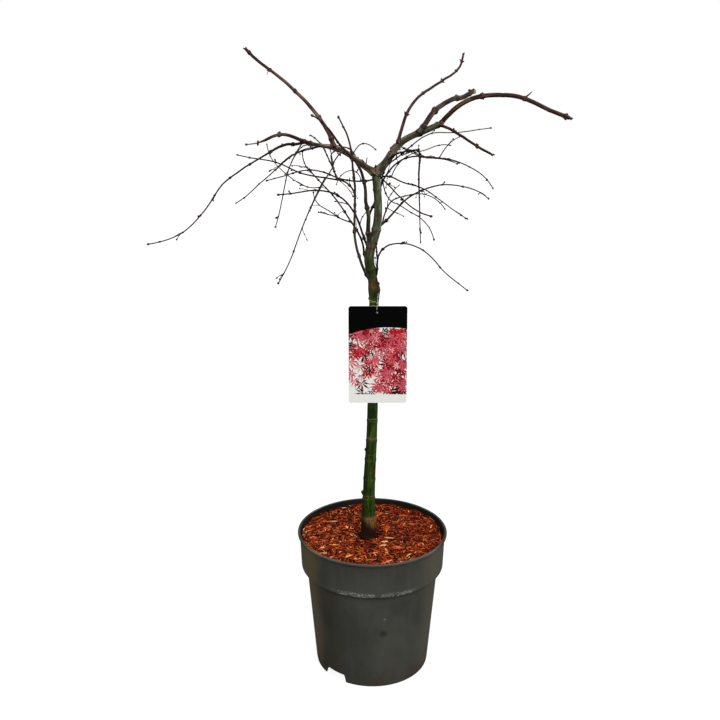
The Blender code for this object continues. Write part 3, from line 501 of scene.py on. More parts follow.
def hasRoom(path, shoots, others, clear):
    # Whether a twig ends inside the space of its mass and keeps clear of the points of other limbs
    own = np.vstack([lines[shoot] for shoot in shoots])
    inside = np.all(np.abs(path[-1] - (own.min(axis=0) + own.max(axis=0)) / 2)
                    < (own.max(axis=0) - own.min(axis=0)) / 2 + growth["spaceMargin"])
    return inside and np.linalg.norm(others[:, None] - path[len(path) // 3:], axis=2).min() > clear


def sideTwigs(rng, name, shoots):
    # Short twigs at some nodes, to either side, where there is room
    made = {}
    for shoot, limb in shoots.items():
        others = np.vstack([line for other, line in lines.items() if other != shoot])
        for number, share in enumerate(nodeShares(limb)):
            if rng.random() > growth["sideChance"] or not growth["sideFrom"] <= share <= growth["sideTo"]:
                continue
            side, climb = rng.choice((-1, 1)), float(spread(limb.climb, share))
            twig = Limb(shoot, float(share), limb.heading + side * rng.uniform(*growth["sideTurn"]),
                        (climb + rng.uniform(5, 30), climb - 10), rng.uniform(*growth["sideLength"]),
                        growth["sideThick"])
            path = layOut(along(lines[shoot], share), twig)
            if hasRoom(path, shoots, others, growth["sideClear"]):
                made[f"{name}_side_{shoot}_{number}"] = (twig, path)
    return made


lines = layOutTree()
sideRng = random.Random(growth["seed"])
grown = {name: sideTwigs(sideRng, name, shoots) for name, shoots in masses.items()}
grown = {name: {key: twig for key, twig in twigs.items() if not key.endswith(openPlaces)}
         for name, twigs in grown.items()}
print("limbs laid out:", len(lines), "with", sum(map(len, grown.values())), "side twigs")


# Surfaces of limbs

def ringFrames(line, shares):
    # Centre, way, side and up at shares of a line. The side stays square to the plane in which the
    # line bends least, so the rings don't twist.
    ways = np.gradient(line, axis=0)
    ways = np.stack([np.convolve(np.pad(ways[:, axis], 2, "edge"), np.full(5, 0.2), "valid")
                     for axis in range(3)], axis=-1)
    ways = unit(along(ways, shares))
    steady = np.linalg.eigh(ways.T @ ways)[1][:, 0]
    steady *= np.sign(steady[np.argmax(np.abs(steady))])
    side = unit(steady - (ways @ steady)[:, None] * ways)
    return along(line, shares), ways, side, np.cross(ways, side)


def wrap(centre, side, up, radii):
    # point = centre + radius * (cos(turn) * side + sin(turn) * up), for radii[ring, turn]
    turn = circle(radii.shape[1])
    spokes = np.cos(turn)[None, :, None] * side[:, None] + np.sin(turn)[None, :, None] * up[:, None]
    return centre[:, None] + radii[..., None] * spokes


def wrapLimb(heap, line, shares, radii, length, scar, tan=0.0):
    centre, _, side, up = ringFrames(line, shares)
    turn, grid = circle(radii.shape[1]), np.ones_like(radii)
    grain = np.stack((np.cos(turn) * radii, np.sin(turn) * radii, grid * shares[:, None] * length), -1)
    heap.addGrid(wrap(centre, side, up, radii),
                 {"along": grid * shares[:, None], "scar": grid * scar, "tan": grid * tan, "grain": grain})


def ringShares(length, tip, pitch):
    # Even shares, then closer ones over the rounded tip; with them, how much the tip closes each ring
    body = np.linspace(0, 1 - tip, max(4, round(length / pitch)))
    bend = np.linspace(0.2, 0.98, 5) * math.pi / 2
    shares = np.concatenate((body, 1 - tip * (1 - np.sin(bend))))
    return shares, np.concatenate((np.ones(len(body)), np.cos(bend)))


def limbGrid(heap, line, limb, sides, pitch, seed, nodes=None, collar=0.0, wrinkle=0.02, tipReach=1.0,
             stout=1.0, knobby=1.0):
    # Radius = thickness / 2, times a hump at each node with an opposite pair of knobs on it, times
    # the widening over the foot where the limb leaves its carrier, times soft wrinkles.
    nodes = nodeShares(limb) if nodes is None else np.array(nodes)
    thin = limb.thick[-1] * mm / 2
    shares, closing = ringShares(limb.length, tipReach * thin / limb.length, pitch)
    radius = spread(limb.thick, shares) * stout * mm / 2
    turn = circle(sides)
    hump, scar, tan = np.zeros((3, len(shares), sides))
    for number, node in enumerate(nodes):
        away = (shares - node)[:, None] * limb.length
        reach = 0.75 * np.interp(node, shares, radius) + 0.4 * mm
        knobs = np.abs(np.cos(turn - number * math.pi / 2 - seed)) ** 6
        hump += knobby * (limb.swelling - 1) * bell(away, reach) * (0.75 + 0.8 * knobs)
        hump += 0.05 * bell(np.abs(away) - 0.55 * reach, 0.28 * reach)
        scar = np.maximum(scar, bell(away, 0.34 * reach))
        tan = np.maximum(tan, bell(away - 0.7 * reach, 0.5 * reach) * (0.35 + 0.65 * knobs))
    if collar:
        hump += (0.45 * np.exp(-np.maximum(shares * limb.length - collar, 0) / (0.9 * radius[0])))[:, None]
    rough = ripples(seed, shares[:, None], turn, 9, limb.length * 260, 5)
    radii = (radius * closing)[:, None] * (1 + hump + wrinkle * rough)
    wrapLimb(heap, line, shares, radii, limb.length, scar, tan)
    return nodes


# Bark

def barkPaint(name, look):
    # Bark in three tones: broad blotches, streaks along the limb in two widths, a dark ring with a tan
    # side at each node, and pale dots
    paint = Paint(name)
    blotch = paint.noise(paint.grain(0.35), look["blotch"], 3)
    band = paint.noise(paint.grain(0.16), look["streak"] * 0.42, 3, 0.5)
    streak = paint.noise(paint.grain(0.12), look["streak"], 5, 0.65)
    grit = paint.noise(paint.grain(), look["grit"], 3, 0.7)
    colour = paint.tones((blotch + (band - 0.5) * 0.8).step(0.36, 0.62), look["dark"], look["base"])
    colour = colour.tint((streak + (band - 0.5) * 0.9).step(0.50, 0.74) * 0.8, look["light"])
    if "tip" in look:
        outward = (paint.mark("along") + (blotch - 0.5) * 0.3).step(*look["tipReach"]) * 0.9
        colour = paint.mix(outward, colour, paint.tones(streak.step(0.45, 0.65), look["tip"],
                                                        look["tipLight"]))
    if "rust" in look:
        centre, reach, rust = look["rust"]
        colour = colour.tint(paint.spot(centre, reach, blotch) * 0.55, rust)
    colour = colour.tint((paint.mark("tan") * (0.5 + streak)).step(0.25, 0.85) * look["scarShare"],
                         look["scar"])
    colour = colour.tint((paint.mark("scar") * (0.7 + grit * 0.6)).step(0.35, 0.9) * 0.75, look["crease"])
    dots = paint.cells(paint.grain(0.55), look["dots"]).step(0.16, 0.08)
    relief = streak * 0.5 + band * 0.4 + grit * 0.3 + dots * 0.5
    colour = colour.tint(dots * 0.45, look["light"])
    return paint.dress(colour, 0.42 + streak * 0.3, relief, look["relief"], 0.8)


greyBough = {"dark": (56, 54, 40), "base": (104, 101, 81), "light": (166, 161, 140),
             "scar": (118, 66, 40), "scarShare": 0.6, "crease": (40, 24, 18), "blotch": 90,
             "streak": 420, "grit": 1500, "dots": 260, "relief": 0.4 * mm, "tipReach": (0.15, 0.75)}
forkRust = (tuple((lines["scion"][-1] + (0, -8 * mm, 5 * mm)).tolist()), 11 * mm, (98, 64, 42))
fadingBough = {**greyBough, "dark": (64, 60, 44), "base": (120, 114, 90), "light": (184, 174, 150),
               "tip": (62, 56, 43), "tipLight": (112, 103, 82), "rust": forkRust}
oliveBough = {**greyBough, "dark": (54, 46, 33), "base": (104, 92, 71), "light": (160, 146, 118),
              "rust": forkRust}
brownBough = {**greyBough, "dark": (44, 27, 19), "base": (78, 51, 35), "light": (130, 92, 66),
              "tip": (50, 32, 27), "tipLight": (90, 62, 52), "scar": (142, 94, 56)}
darkBough = {**greyBough, "dark": (40, 31, 27), "base": (74, 61, 53), "light": (116, 100, 88),
             "scar": (120, 84, 60), "crease": (24, 16, 13)}
purpleBough = {**darkBough, "dark": (40, 25, 25), "base": (74, 50, 48), "light": (112, 86, 81)}
purpleShoot = {**greyBough, "dark": (50, 28, 30), "base": (84, 54, 54), "light": (124, 94, 92),
               "tip": (60, 32, 33), "tipLight": (92, 60, 58), "scar": (122, 82, 62)}
fadingShoot = {**greyBough, "dark": (58, 37, 34), "base": (94, 66, 58), "light": (144, 114, 98),
               "tip": (40, 19, 16), "tipLight": (72, 42, 36), "tipReach": (0.60, 0.86),
               "scar": (122, 82, 62)}
brownShoot = {**greyBough, "dark": (32, 21, 15), "base": (62, 43, 31), "light": (112, 86, 63),
              "scar": (132, 84, 50)}
greenStem = {**greyBough, "dark": (36, 36, 24), "base": (68, 66, 46), "light": (112, 106, 80),
             "tip": (48, 34, 26), "tipLight": (84, 60, 46), "scar": (132, 72, 42)}
darkTwig = {**greyBough, "dark": (22, 14, 12), "base": (40, 27, 23), "light": (70, 52, 45),
            "scar": (70, 44, 32), "scarShare": 0.4, "crease": (18, 11, 9), "relief": 0.15 * mm}


# Trunk

trunkShape = {
    "girthAt": (0.258, 0.300, 0.340, 0.385, 0.575, 0.600, 0.800, 0.840, 0.885, 0.920, 0.960, 1.010, 1.040),
    "girth": (1.26, 1.24, 1.21, 1.13, 1.13, 1.02, 1.02, 1.06, 1.19, 1.19, 1.13, 1.07, 1.02),
    "shift": (0, -0.3, -1.2, -1.2, -1.2, -0.8, -0.8, -0.5, 1.0, 0.5, 0), "ridge": 0.35 * mm,
    "flare": 8 * mm, "flareReach": 0.026, "graftBulge": 5.5 * mm, "graftReach": 0.013,
    "sides": 72, "pitch": 1.2 * mm}
trunkStubs = {  # height, heading, climb, length, thickness in millimetres
    "prunedSpur": (0.367, 188, 66, 0.0245, (11, 9, 7)),
    "graftStub": (0.8290, -8, 72, 0.0160, (16, 13, 8)),
    "oldBud": (0.470, 185, 60, 0.0175, (10, 9, 6)),
}
trunkLine = nudge(np.vstack((lines["rootstock"], lines["scion"][1:])), (trunkShape["shift"],))
forkHeight = float(trunkLine[-1, 2])


def trunkPointAt(height):
    return np.array([np.interp(height, trunkLine[:, 2], trunkLine[:, axis]) for axis in range(3)])


def trunkRadii(shares, turn):
    # Half the thickness of rootstock and scion times the girth, plus the flare, which falls off
    # exponentially with height, the graft's bell, a ring at each node and soft ripples
    split = rootstock.length / (rootstock.length + scion.length)
    lower, upper = shares / split, (shares - split) / (1 - split)
    radius = np.where(shares < split, spread(rootstock.thick, lower), spread(scion.thick, upper)) * mm / 2
    height = along(trunkLine, shares)[:, 2]
    radius = radius * np.interp(height, trunkShape["girthAt"], trunkShape["girth"])
    rise = height - trunkLine[0, 2]
    graft = lines["rootstock"][-1][2]
    flare = trunkShape["flare"] / 2 * np.exp(-rise / trunkShape["flareReach"])
    radius = radius + flare + trunkShape["graftBulge"] / 2 * bell(height - graft, trunkShape["graftReach"])
    scar, relief = np.zeros(len(shares)), np.zeros((len(shares), len(turn)))
    length = rootstock.length + scion.length
    for limb, start, reach in ((rootstock, 0, split), (scion, split, 1 - split)):
        for node in start + nodeShares(limb) * reach:
            slant = 0.9 * mm * np.sin(2 * turn + 40 * node)
            away = (shares - node)[:, None] * length + slant
            relief += (limb.swelling - 1) * radius[:, None] * bell(away, 4 * mm)
            relief += trunkShape["ridge"] * bell(np.abs(away) - 1.0 * mm, 0.55 * mm)
            scar = np.maximum(scar, bell((shares - node) * length, 2.2 * mm))
    wander = ripples(7, shares[:, None], turn, 14, 30, 4)
    fine = ripples(8, shares[:, None], turn, 20, 120, 17)
    relief += radius[:, None] * (0.030 * wander + 0.006 * fine)
    relief += 0.35 * flare[:, None] * np.cos(3 * turn + 0.6)
    return radius[:, None] + relief, scar[:, None]


trunkBands = (  # height, reach, colour, share
    (0.5491, 1.6 * mm, (112, 128, 74), 0.7), (0.5075, 5 * mm, (98, 92, 62), 0.75),
    (0.8005, 2.0 * mm, (148, 154, 96), 0.7), (0.9130, 4.0 * mm, (80, 42, 26), 1.1),
    (0.3783, 1.6 * mm, (96, 100, 50), 0.6), (0.4700, 1.4 * mm, (84, 98, 48), 0.5),
    (forkHeight - 4 * mm, 5 * mm, (96, 54, 32), 0.6), (0.9770, 3.4 * mm, (92, 74, 50), 0.9))
trunkSpots = (  # height, heading, reach, colour
    (0.432, -30, 7 * mm, (88, 42, 24)), (0.835, -95, 10 * mm, (108, 72, 42)),
    (0.862, -25, 6 * mm, (92, 54, 34)), (0.976, -88, 5 * mm, (84, 48, 32)),
    (0.940, -110, 5 * mm, (76, 48, 34)), (0.3873, -60, 1.8 * mm, (132, 142, 90)),
    (0.352, -70, 2.2 * mm, (122, 132, 76)), (0.372, 200, 9 * mm, (92, 60, 36)),
    (0.425, -75, 2.5 * mm, (136, 128, 80)), (0.482, -110, 3 * mm, (74, 48, 28)),
    (0.842, -5, 14 * mm, (40, 26, 20)), (0.862, -20, 8 * mm, (60, 40, 30)),
    (0.8215, -60, 9 * mm, (44, 40, 26)),
    (forkHeight - 3 * mm, -95, 9 * mm, (104, 62, 38)), (0.9130, -95, 7 * mm, (88, 44, 28)),
    (0.9760, -50, 4 * mm, (96, 66, 46)), (0.9170, -60, 5 * mm, (120, 96, 78)))


def trunkPaint():
    # Deep green below, olive grey above the graft, tan and then dark brown at the foot, with paler
    # rings, a red-brown collar and patches where old shoots were. The dark brown where the foot meets the
    # mulch is painted shade of the hollow round the foot. The left side of the green and of the foot is
    # darkened as painted shade, and the olive has painted shade on one side and a painted highlight on the
    # other
    paint = Paint("trunkBark")
    streak = paint.noise(paint.grain(0.08), 520, 5, 0.7)
    band = paint.noise(paint.grain(0.13), 190, 4, 0.6)
    blotch = paint.noise(paint.grain(0.3), 95, 4)
    grit = paint.noise(paint.grain(), 1300, 3, 0.7)
    across, left = paint.axis(paint.place()), paint.axis(paint.grain(), "Y")
    level = paint.axis(paint.place(), "Z")
    height, aside = level + (blotch - 0.5) * 0.010, across + 14.5 * mm - level * 0.022
    green = paint.tones((blotch * 0.5 + band * 0.5).step(0.38, 0.62), (22, 38, 6), (50, 75, 15))
    green = green.tint((streak * 0.5 + band * 0.5).step(0.5, 0.68) * 0.6, (88, 116, 40))
    # The left side of the green darker: painted shade
    green = green.tint(aside.step(-1 * mm, -9 * mm) * (0.35 + band * 0.5), (20, 24, 6))
    olive = paint.tones((blotch * 0.4 + band * 0.6).step(0.38, 0.60), (56, 60, 41), (108, 116, 88))
    olive = olive.tint((streak * 0.4 + band * 0.6).step(0.50, 0.66) * 0.8, (172, 178, 152))
    olive = olive.tint(grit.step(0.54, 0.70) * 0.55, (50, 48, 33))
    # One side of the olive darker, painted shade, and the other side lighter, a painted highlight
    olive = olive.tint(left.step(1 * mm, 9 * mm) * (0.35 + band * 0.5), (42, 46, 30))
    olive = olive.tint(left.step(-2 * mm, -9 * mm) * (0.2 + grit * 0.5), (160, 164, 138))
    mossy = paint.tones((blotch * 0.5 + band * 0.5).step(0.38, 0.62), (32, 44, 14), (66, 78, 36))
    mossy = mossy.tint(grit.step(0.55, 0.75) * 0.6, (70, 44, 28))
    colour = paint.mix(height.step(0.60, 0.82), green, mossy)
    colour = paint.mix(height.step(0.87, 0.95), colour, olive)
    foot = paint.tones((streak * 0.3 + grit * 0.4 + blotch * 0.3).step(0.40, 0.60), (66, 44, 20),
                       (142, 110, 64))
    # The left side of the foot darker: painted shade
    foot = foot.tint(aside.step(-3 * mm, -13 * mm) * (0.3 + grit), (46, 30, 14))
    colour = paint.mix((height + (streak - 0.5) * 0.012).step(0.334, 0.326), colour, foot)
    # Near-black brown where the foot meets the mulch, reaching higher on the left: painted shade of the
    # hollow round the foot
    hollowShade = paint.tones(grit.step(0.4, 0.7), (14, 7, 4), (52, 27, 14))
    ragged = height + aside * 0.7 + (grit - 0.5) * 0.03 + (streak - 0.5) * 0.02
    colour = paint.mix(ragged.step(0.325, 0.306), colour, hollowShade)
    smudge = blotch.step(0.35, 0.65) * 0.45 + grit.step(0.35, 0.65) * 0.35 + streak * 0.2
    above = height.step(0.320, 0.340)
    for bandHeight, reach, bandColour, share in trunkBands:
        colour = colour.tint(height.near(bandHeight, reach) * (0.5 + streak) * share, bandColour)
    for spotHeight, heading, reach, spotColour in trunkSpots:
        around = np.array((math.cos(math.radians(heading)), math.sin(math.radians(heading)), 0))
        centre = tuple((trunkPointAt(spotHeight) + 10 * mm * around).tolist())
        colour = colour.tint(paint.spot(centre, reach, smudge) * 0.85, spotColour)
    colour = colour.tint(paint.mark("scar") * 0.25 * above, (86, 84, 46))
    dots = paint.cells(paint.grain(0.5), 210).step(0.14, 0.06)
    colour = colour.tint(dots * 0.35 * above, (116, 128, 76))
    relief = streak * 0.4 + band * 0.5 + grit * 0.25 + dots * 0.4
    return paint.dress(colour, 0.40 + streak * 0.25, relief, 0.4 * mm, 0.8)


def stubOf(name):
    height, heading, climb, length, thick = trunkStubs[name]
    stub = Limb("", 0, heading, (climb * 0.6, climb), length, thick)
    return stub, layOut(trunkPointAt(height), stub)


def makeTrunk():
    heap = Heap()
    length = rootstock.length + scion.length
    shares, closing = ringShares(length, 6 * mm / length, trunkShape["pitch"])
    radii, scar = trunkRadii(shares, circle(trunkShape["sides"]))
    wrapLimb(heap, trunkLine, shares, radii * closing[:, None], length, scar)
    for number, name in enumerate(trunkStubs):
        stub, line = stubOf(name)
        limbGrid(heap, line, stub, 28, 0.7 * mm, 40 + number, nodes=(), wrinkle=0.05, tipReach=0.6)
    heap.build("trunkBark", trunkPaint(), "trunk_bark", ["trunk"])


makeTrunk()
print("trunk done")


# Boughs

cuts = {"upper_right_bough": 0.94, "prunedSpur": 0.80}  # how wide the cut is, as a share of the limb's end
boughLooks = {  # look, sides, and where its nodes are
    "right_bough": (fadingBough, 44, (0.30, 0.73, 0.975)),
    "left_bough": (oliveBough, 40, (0.24, 0.60, 0.97)),
    "right_arching_bough": (brownBough, 40, (0.355, 0.656, 0.965)),
    "upper_right_bough": (darkBough, 36, (0.10, 0.365, 0.731)),
    "right_upshoot": (purpleShoot, 28, (0.22, 0.44, 0.66, 0.849, 0.946)),
    "right_drooping_shoot": (brownShoot, 28, (0.340, 0.760)),
    "left_arch_tip": (purpleBough, 32, (0.10, 0.511, 0.844)),
    "left_upshoot": (fadingShoot, 32, (0.06, 0.24, 0.495, 0.750, 0.957)),
    "second_stem": (greenStem, 28, None),
    "left_long_shoot": (greenStem, 24, None),
}
drawnThick = {"left_arch_tip": (6.8, 6.6, 6.2, 5.8, 5.6, 5.2, 2.2, 1.8),  # where it isn't the solid's
              "left_upshoot": (8.5, 7, 6.2, 5.6, 5.856)}
boughShape = {"pitch": 0.9 * mm, "scionFoot": 8 * mm, "cutReach": 0.12, "stout": (1.06, 1.22),
              "knobby": (1.3, 1.6)}
budSites = []  # line, limb, nodes and seed of each limb that carries buds


def makeBoughs():
    paints = {}
    for number, (name, (look, sides, nodes)) in enumerate(boughLooks.items()):
        limb, heap, slim = boughs[name], Heap(), look is greenStem
        if limb.growsFrom == "scion":
            foot = boughShape["scionFoot"]
        else:
            foot = spread(boughs[limb.growsFrom].thick, limb.at) * mm / 2
        limb = limb._replace(thick=drawnThick.get(name, limb.thick))
        nodes = limbGrid(heap, lines[name], limb, sides, boughShape["pitch"], 60 + number, nodes,
                         0 if name == "right_arching_bough" else foot,
                         tipReach=boughShape["cutReach"] if name in cuts else 1.0,
                         stout=boughShape["stout"][slim], knobby=boughShape["knobby"][slim])
        budSites.append((lines[name], limb, nodes, 60 + number))
        if name == "left_long_shoot":
            curl = limbGrid(heap, lines["curled_twig"], curledTwig, 10, 1.2 * mm, 71, stout=1.2, knobby=2.4)
            budSites.append((lines["curled_twig"], curledTwig, curl, 71))
        if id(look) not in paints:
            paints[id(look)] = barkPaint(f"bark{len(paints) + 1}", look)
        slotName = "shoot_bark" if look in (purpleShoot, fadingShoot, brownShoot, greenStem) else "bough_bark"
        heap.build("bark" + name.title().replace("_", ""), paints[id(look)], slotName, [name])


makeBoughs()
print("boughs done")


# Twig masses: shoots, side twigs, then fine twigs and short spurs at the nodes

fineTwig = {"chance": 0.20, "length": (0.009, 0.026), "thick": (1.35, 0.95), "clear": 3 * mm,
            "internode": 0.016, "swelling": 1.35, "turn": (30, 80), "sway": 10, "kink": 4, "spurChance": 0.10,
            "spurLength": (0.0022, 0.0040), "spurThick": (2.2, 1.8), "seeds": {
    "right_fan_twigs": 154, "right_under_twigs": 246, "right_low_twigs": 125, "right_foot_twigs": 12,
    "left_foot_twigs": 43, "left_low_twigs": 316, "left_inner_twigs": 46, "left_middle_twigs": 315,
    "left_outer_twigs": 151, "left_weeping_twigs": 191, "back_left_twigs": 127, "back_right_twigs": 180,
    "front_left_twigs": 0, "front_right_twigs": 144}}


def fineTwigs(name, shoots):
    # Grown on by the rule of the side twigs, thinner and with more droop, within the same space
    rng = random.Random(f"{name} {fineTwig['seeds'][name]}")
    carriers = [(limb, lines[shoot]) for shoot, limb in shoots.items()] + list(grown[name].values())
    everything = np.vstack([*lines.values(), *(path for _, path in grown[name].values())])
    made = []
    for limb, line in carriers:
        for share in nodeShares(limb):
            foot = along(line, share)
            if not 0.08 < share < 0.95:
                continue
            for side in (-1, 1):
                heading = limb.heading + side * rng.uniform(*fineTwig["turn"])
                climb = float(spread(limb.climb, share)) + rng.uniform(0, 45)
                spur, length = rng.random() < fineTwig["spurChance"], rng.uniform(*fineTwig["spurLength"])
                if spur:
                    twig = Limb("", share, heading, (climb, climb + 15), length, fineTwig["spurThick"])
                    made.append((twig, layOut(foot, twig)))
                chance, length = rng.random(), rng.uniform(*fineTwig["length"])
                if chance > fineTwig["chance"]:
                    continue
                climbs = (climb + 10, climb, climb - 20)
                twig = Limb("", share, heading + rng.uniform(-25, 25), climbs, length, fineTwig["thick"],
                            fineTwig["internode"], fineTwig["swelling"])
                path = layOut(foot, twig, rng.uniform(-fineTwig["sway"], fineTwig["sway"]), fineTwig["kink"])
                if hasRoom(path, shoots, everything, fineTwig["clear"]):
                    made.append((twig, path))
    return made


# Sides, ring spacing, widening over the foot, then how stout and how knobby: at a side, in front or behind
massLimbs = {
    "shoot": (12, 1.4 * mm, 1.2 * mm, (1.13, 0.85), (2.2, 1.2)),
    "side": (8, 1.6 * mm, 0, (1.1, 0.8), (1, 1)),
    "fine": (7, 1.8 * mm, 0, (1.0, 0.8), (2.0, 1.2)),
}


def makeMasses():
    paint, seed = barkPaint("barkTwig", darkTwig), 100
    for name, shoots in masses.items():
        heap, rear = Heap(), name.startswith(("back", "front"))
        limbs = [("shoot", limb, lines[shoot]) for shoot, limb in shoots.items()]
        limbs += [("side", limb, line) for limb, line in grown[name].values()]
        limbs += [("fine", limb, line) for limb, line in fineTwigs(name, shoots)]
        for kind, limb, line in limbs:
            sides, pitch, collar, stout, knobby = massLimbs[kind]
            nodes = limbGrid(heap, line, limb, sides, pitch, seed, () if kind == "side" else None, collar,
                             wrinkle=0.03, stout=stout[rear], knobby=knobby[rear])
            budNodes = {"shoot": nodes[::2] if rear else nodes, "side": () if rear else (0.55,),
                        "fine": nodes if limb.length > 0.02 else ()}
            budSites.append((line, limb, np.array(budNodes[kind]), seed))
            seed += 1
        heap.build(name[0] + name.title().replace("_", "")[1:], paint, "twig_bark", [name])


makeMasses()
print("twig masses done")


# Small twigs and thorns that stand on the boughs
spurTwigs = {
    "thorn": ("right_arching_bough", 0.650, -15, (34, 46), 0.0185, (3.8, 1.7)),
    "curlTwig": ("left_upshoot", 0.748, 200, (-15, -60, -100), 0.013, (1.4, 1.0)),
    "weepKnob": ("weeping_twig", 0.125, 250, (-10, -30), 0.0062, (5.0, 4.0)),
    "weepKnobHigh": ("weeping_twig", 0.128, 110, (60, 60), 0.0050, (4.6, 3.6)),
    "forkSpur": ("left_bough", 0.16, 60, (80, 70), 0.020, (2.4, 1.8)),
    "underSpur": ("left_bough", 0.56, 250, (-70, -85), 0.012, (2.4, 1.8)),
    "footSpur": ("right_bough", 0.10, 100, (60, 85), 0.010, (2.4, 1.8)),
    "forkTip": ("scion", 0.975, 262, (40, 100), 0.0215, (7, 2.8)),
    "forkTipRight": ("scion", 0.975, 305, (40, 100), 0.0195, (7, 2.8)),
    "archKnob": ("right_arching_bough", 0.355, 60, (50, 60), 0.0080, (5.6, 4.4)),
    "archKnobLow": ("right_arching_bough", 0.355, 250, (-50, -60), 0.0070, (5.2, 4.0)),
    "tipKnobHigh": ("right_arching_bough", 0.968, 40, (50, 60), 0.0072, (6.0, 5.0)),
    "tipKnobLow": ("right_arching_bough", 0.968, 250, (-50, -70), 0.0072, (6.0, 5.0)),
    "upperKnob": ("upper_right_bough", 0.365, 250, (60, 70), 0.0088, (6.4, 5.2)),
    "upperKnobBack": ("upper_right_bough", 0.731, 120, (60, 70), 0.0082, (6.0, 4.8)),
    "upperKnobEnd": ("upper_right_bough", 0.945, 150, (80, 70), 0.0086, (6.6, 5.4)),
    "upperKnobUnder": ("upper_right_bough", 0.950, 260, (-50, -70), 0.0074, (6.0, 4.8)),
    "shootKnob": ("right_upshoot", 0.849, 120, (20, 40), 0.0052, (4.6, 3.8)),
    "leftKnob": ("left_upshoot", 0.750, 250, (30, 40), 0.0060, (5.0, 4.0)),
    "leftKnobBack": ("left_upshoot", 0.495, 70, (40, 60), 0.0060, (5.0, 4.0)),
    "leftKnobEnd": ("left_upshoot", 0.958, 60, (60, 60), 0.0056, (5.2, 4.4)),
    "archTipKnob": ("left_arch_tip", 0.511, 90, (70, 80), 0.0066, (5.0, 4.0)),
    "archTipKnobLow": ("left_arch_tip", 0.511, 260, (-60, -80), 0.0058, (4.8, 3.8)),
    "archTipSpur": ("left_arch_tip", 0.844, 270, (-60, -80), 0.0058, (4.2, 3.4)),
    "archTipSpurHigh": ("left_arch_tip", 0.844, 80, (60, 80), 0.0052, (4.2, 3.4)),
    "droopKnob": ("right_drooping_shoot", 0.340, 60, (80, 80), 0.0062, (4.2, 3.2)),
    "droopKnobLow": ("right_drooping_shoot", 0.760, 240, (60, 80), 0.0056, (3.8, 3.0)),
}
budTwigs = {
    "lowTwig": ("left_low_stem", 0.76, 185, (25, 12, 5), 0.017, (1.4, 1.1)),
    "footTwig": ("left_foot_side_twig", 0.72, 190, (10, 0), 0.014, (1.3, 1.0)),
    "footTwigHigh": ("left_foot_side_twig", 0.30, 15, (75, 40, 20), 0.017, (1.3, 1.0)),
}
collars = {  # rusty swellings where shoots were lost
    "forkSwelling": ("scion", 0.985, 283, (25, 60, 90), 0.0135, (18, 16, 9)),
    "archFoot": ("right_arching_bough", 0.02, 255, (30, 40), 0.0055, (12, 10)),
    "archFootLow": ("right_arching_bough", 0.0, 320, (-20, -10), 0.0085, (9, 6)),
}


def makeKnobs(name, limbs, look, seed):
    heap, sites = Heap(), []
    for number, limb in enumerate(Limb(*row) for row in limbs.values()):
        line = layOut(along(lines[limb.growsFrom], limb.at), limb)
        limbGrid(heap, line, limb, 16, 0.9 * mm, seed + number, (), wrinkle=0.06, tipReach=0.9)
        sites.append((line, limb, np.array(()), seed + number))
    heap.build(name, barkPaint(f"{name}Bark", look), "bough_bark")
    return sites


spurBark = {**darkBough, "dark": (34, 23, 19), "base": (68, 48, 38), "light": (106, 84, 68)}
makeKnobs("spurTwigs", spurTwigs, spurBark, 300)
budSites.extend(makeKnobs("budTwigs", budTwigs, darkTwig, 340))
makeKnobs("rustyCollars", collars, {**darkBough, "dark": (52, 32, 24), "base": (92, 54, 37),
                                    "light": (136, 92, 64), "streak": 300}, 350)


# Pale wood where limbs were cut

slantedCut = Limb("", 0, -48, (0, 0), 0.0048, (9,))  # the way in which the upper bough's cut faces
cutShift = np.array((-0.6, 0.4, -0.8)) * mm
cutReach = np.array((1.0, 1.0, 0.8, 0.55, 0.3, 0.04))[:, None, None]
cutRise = np.array((-0.9, 0.15, 0.28, 0.34, 0.38, 0.40))[:, None, None] * mm


def cutPaint():
    # Cream wood with growth rings about the cut's middle and a darker rim
    paint = Paint("cutWood")
    away = paint.mark("away")
    ragged = paint.noise(paint.place(), 900, 3)
    rings = (paint.maths("SINE", away * 16 + ragged * 2) * 0.5 + 0.5) * 0.35
    colour = paint.tones(rings, (186, 154, 104), (146, 108, 66))
    colour = colour.tint((away + (ragged - 0.5) * 0.3).step(0.62, 0.94), (58, 37, 25))
    return paint.dress(colour, 0.7 - rings * 0.2, ragged, 0.2 * mm, 0.6)


def makeCuts():
    # Low domes: point = end + radius * (cos turn, sin turn) across the limb + rise along it
    heap, turn = Heap(), circle(24)
    for name, share in cuts.items():
        if name in boughs:
            radius = boughs[name].thick[-1] * mm / 2 * boughShape["stout"][0] * share
            line = layOut(lines[name][-1] + cutShift, slantedCut)
        else:
            stub, line = stubOf(name)
            radius = stub.thick[-1] * mm / 2 * share
        centre, way, side, up = ringFrames(line, np.array((0.97, 1.0)))
        spokes = np.cos(turn)[:, None] * side[1] + np.sin(turn)[:, None] * up[1]
        points = centre[1] + radius * cutReach * spokes + cutRise * way[1]
        heap.addGrid(points, {"away": cutReach[..., 0] * np.ones(24)})
    heap.build("cutFaces", cutPaint(), "bough_bark", sharp=40)


makeCuts()


# Winter buds: opposite pairs at the nodes, and a pair at each tip

budShape = {"long": 3.0 * mm, "wide": 1.75 * mm, "grownRadius": 1.1 * mm, "slimRadius": 1.6 * mm,
            "tipAt": 0.995, "seat": 0.9, "tipSeat": 0.35, "largest": 1.7}
budLeans = {True: (0.36, 0.12), False: (0.58, 0.30)}  # whether the limb is slim: at its nodes, at its tip
budSizes = {True: (0.68, 2.3), False: (0.75, 1.3)}  # smallest, and how much larger at the tip


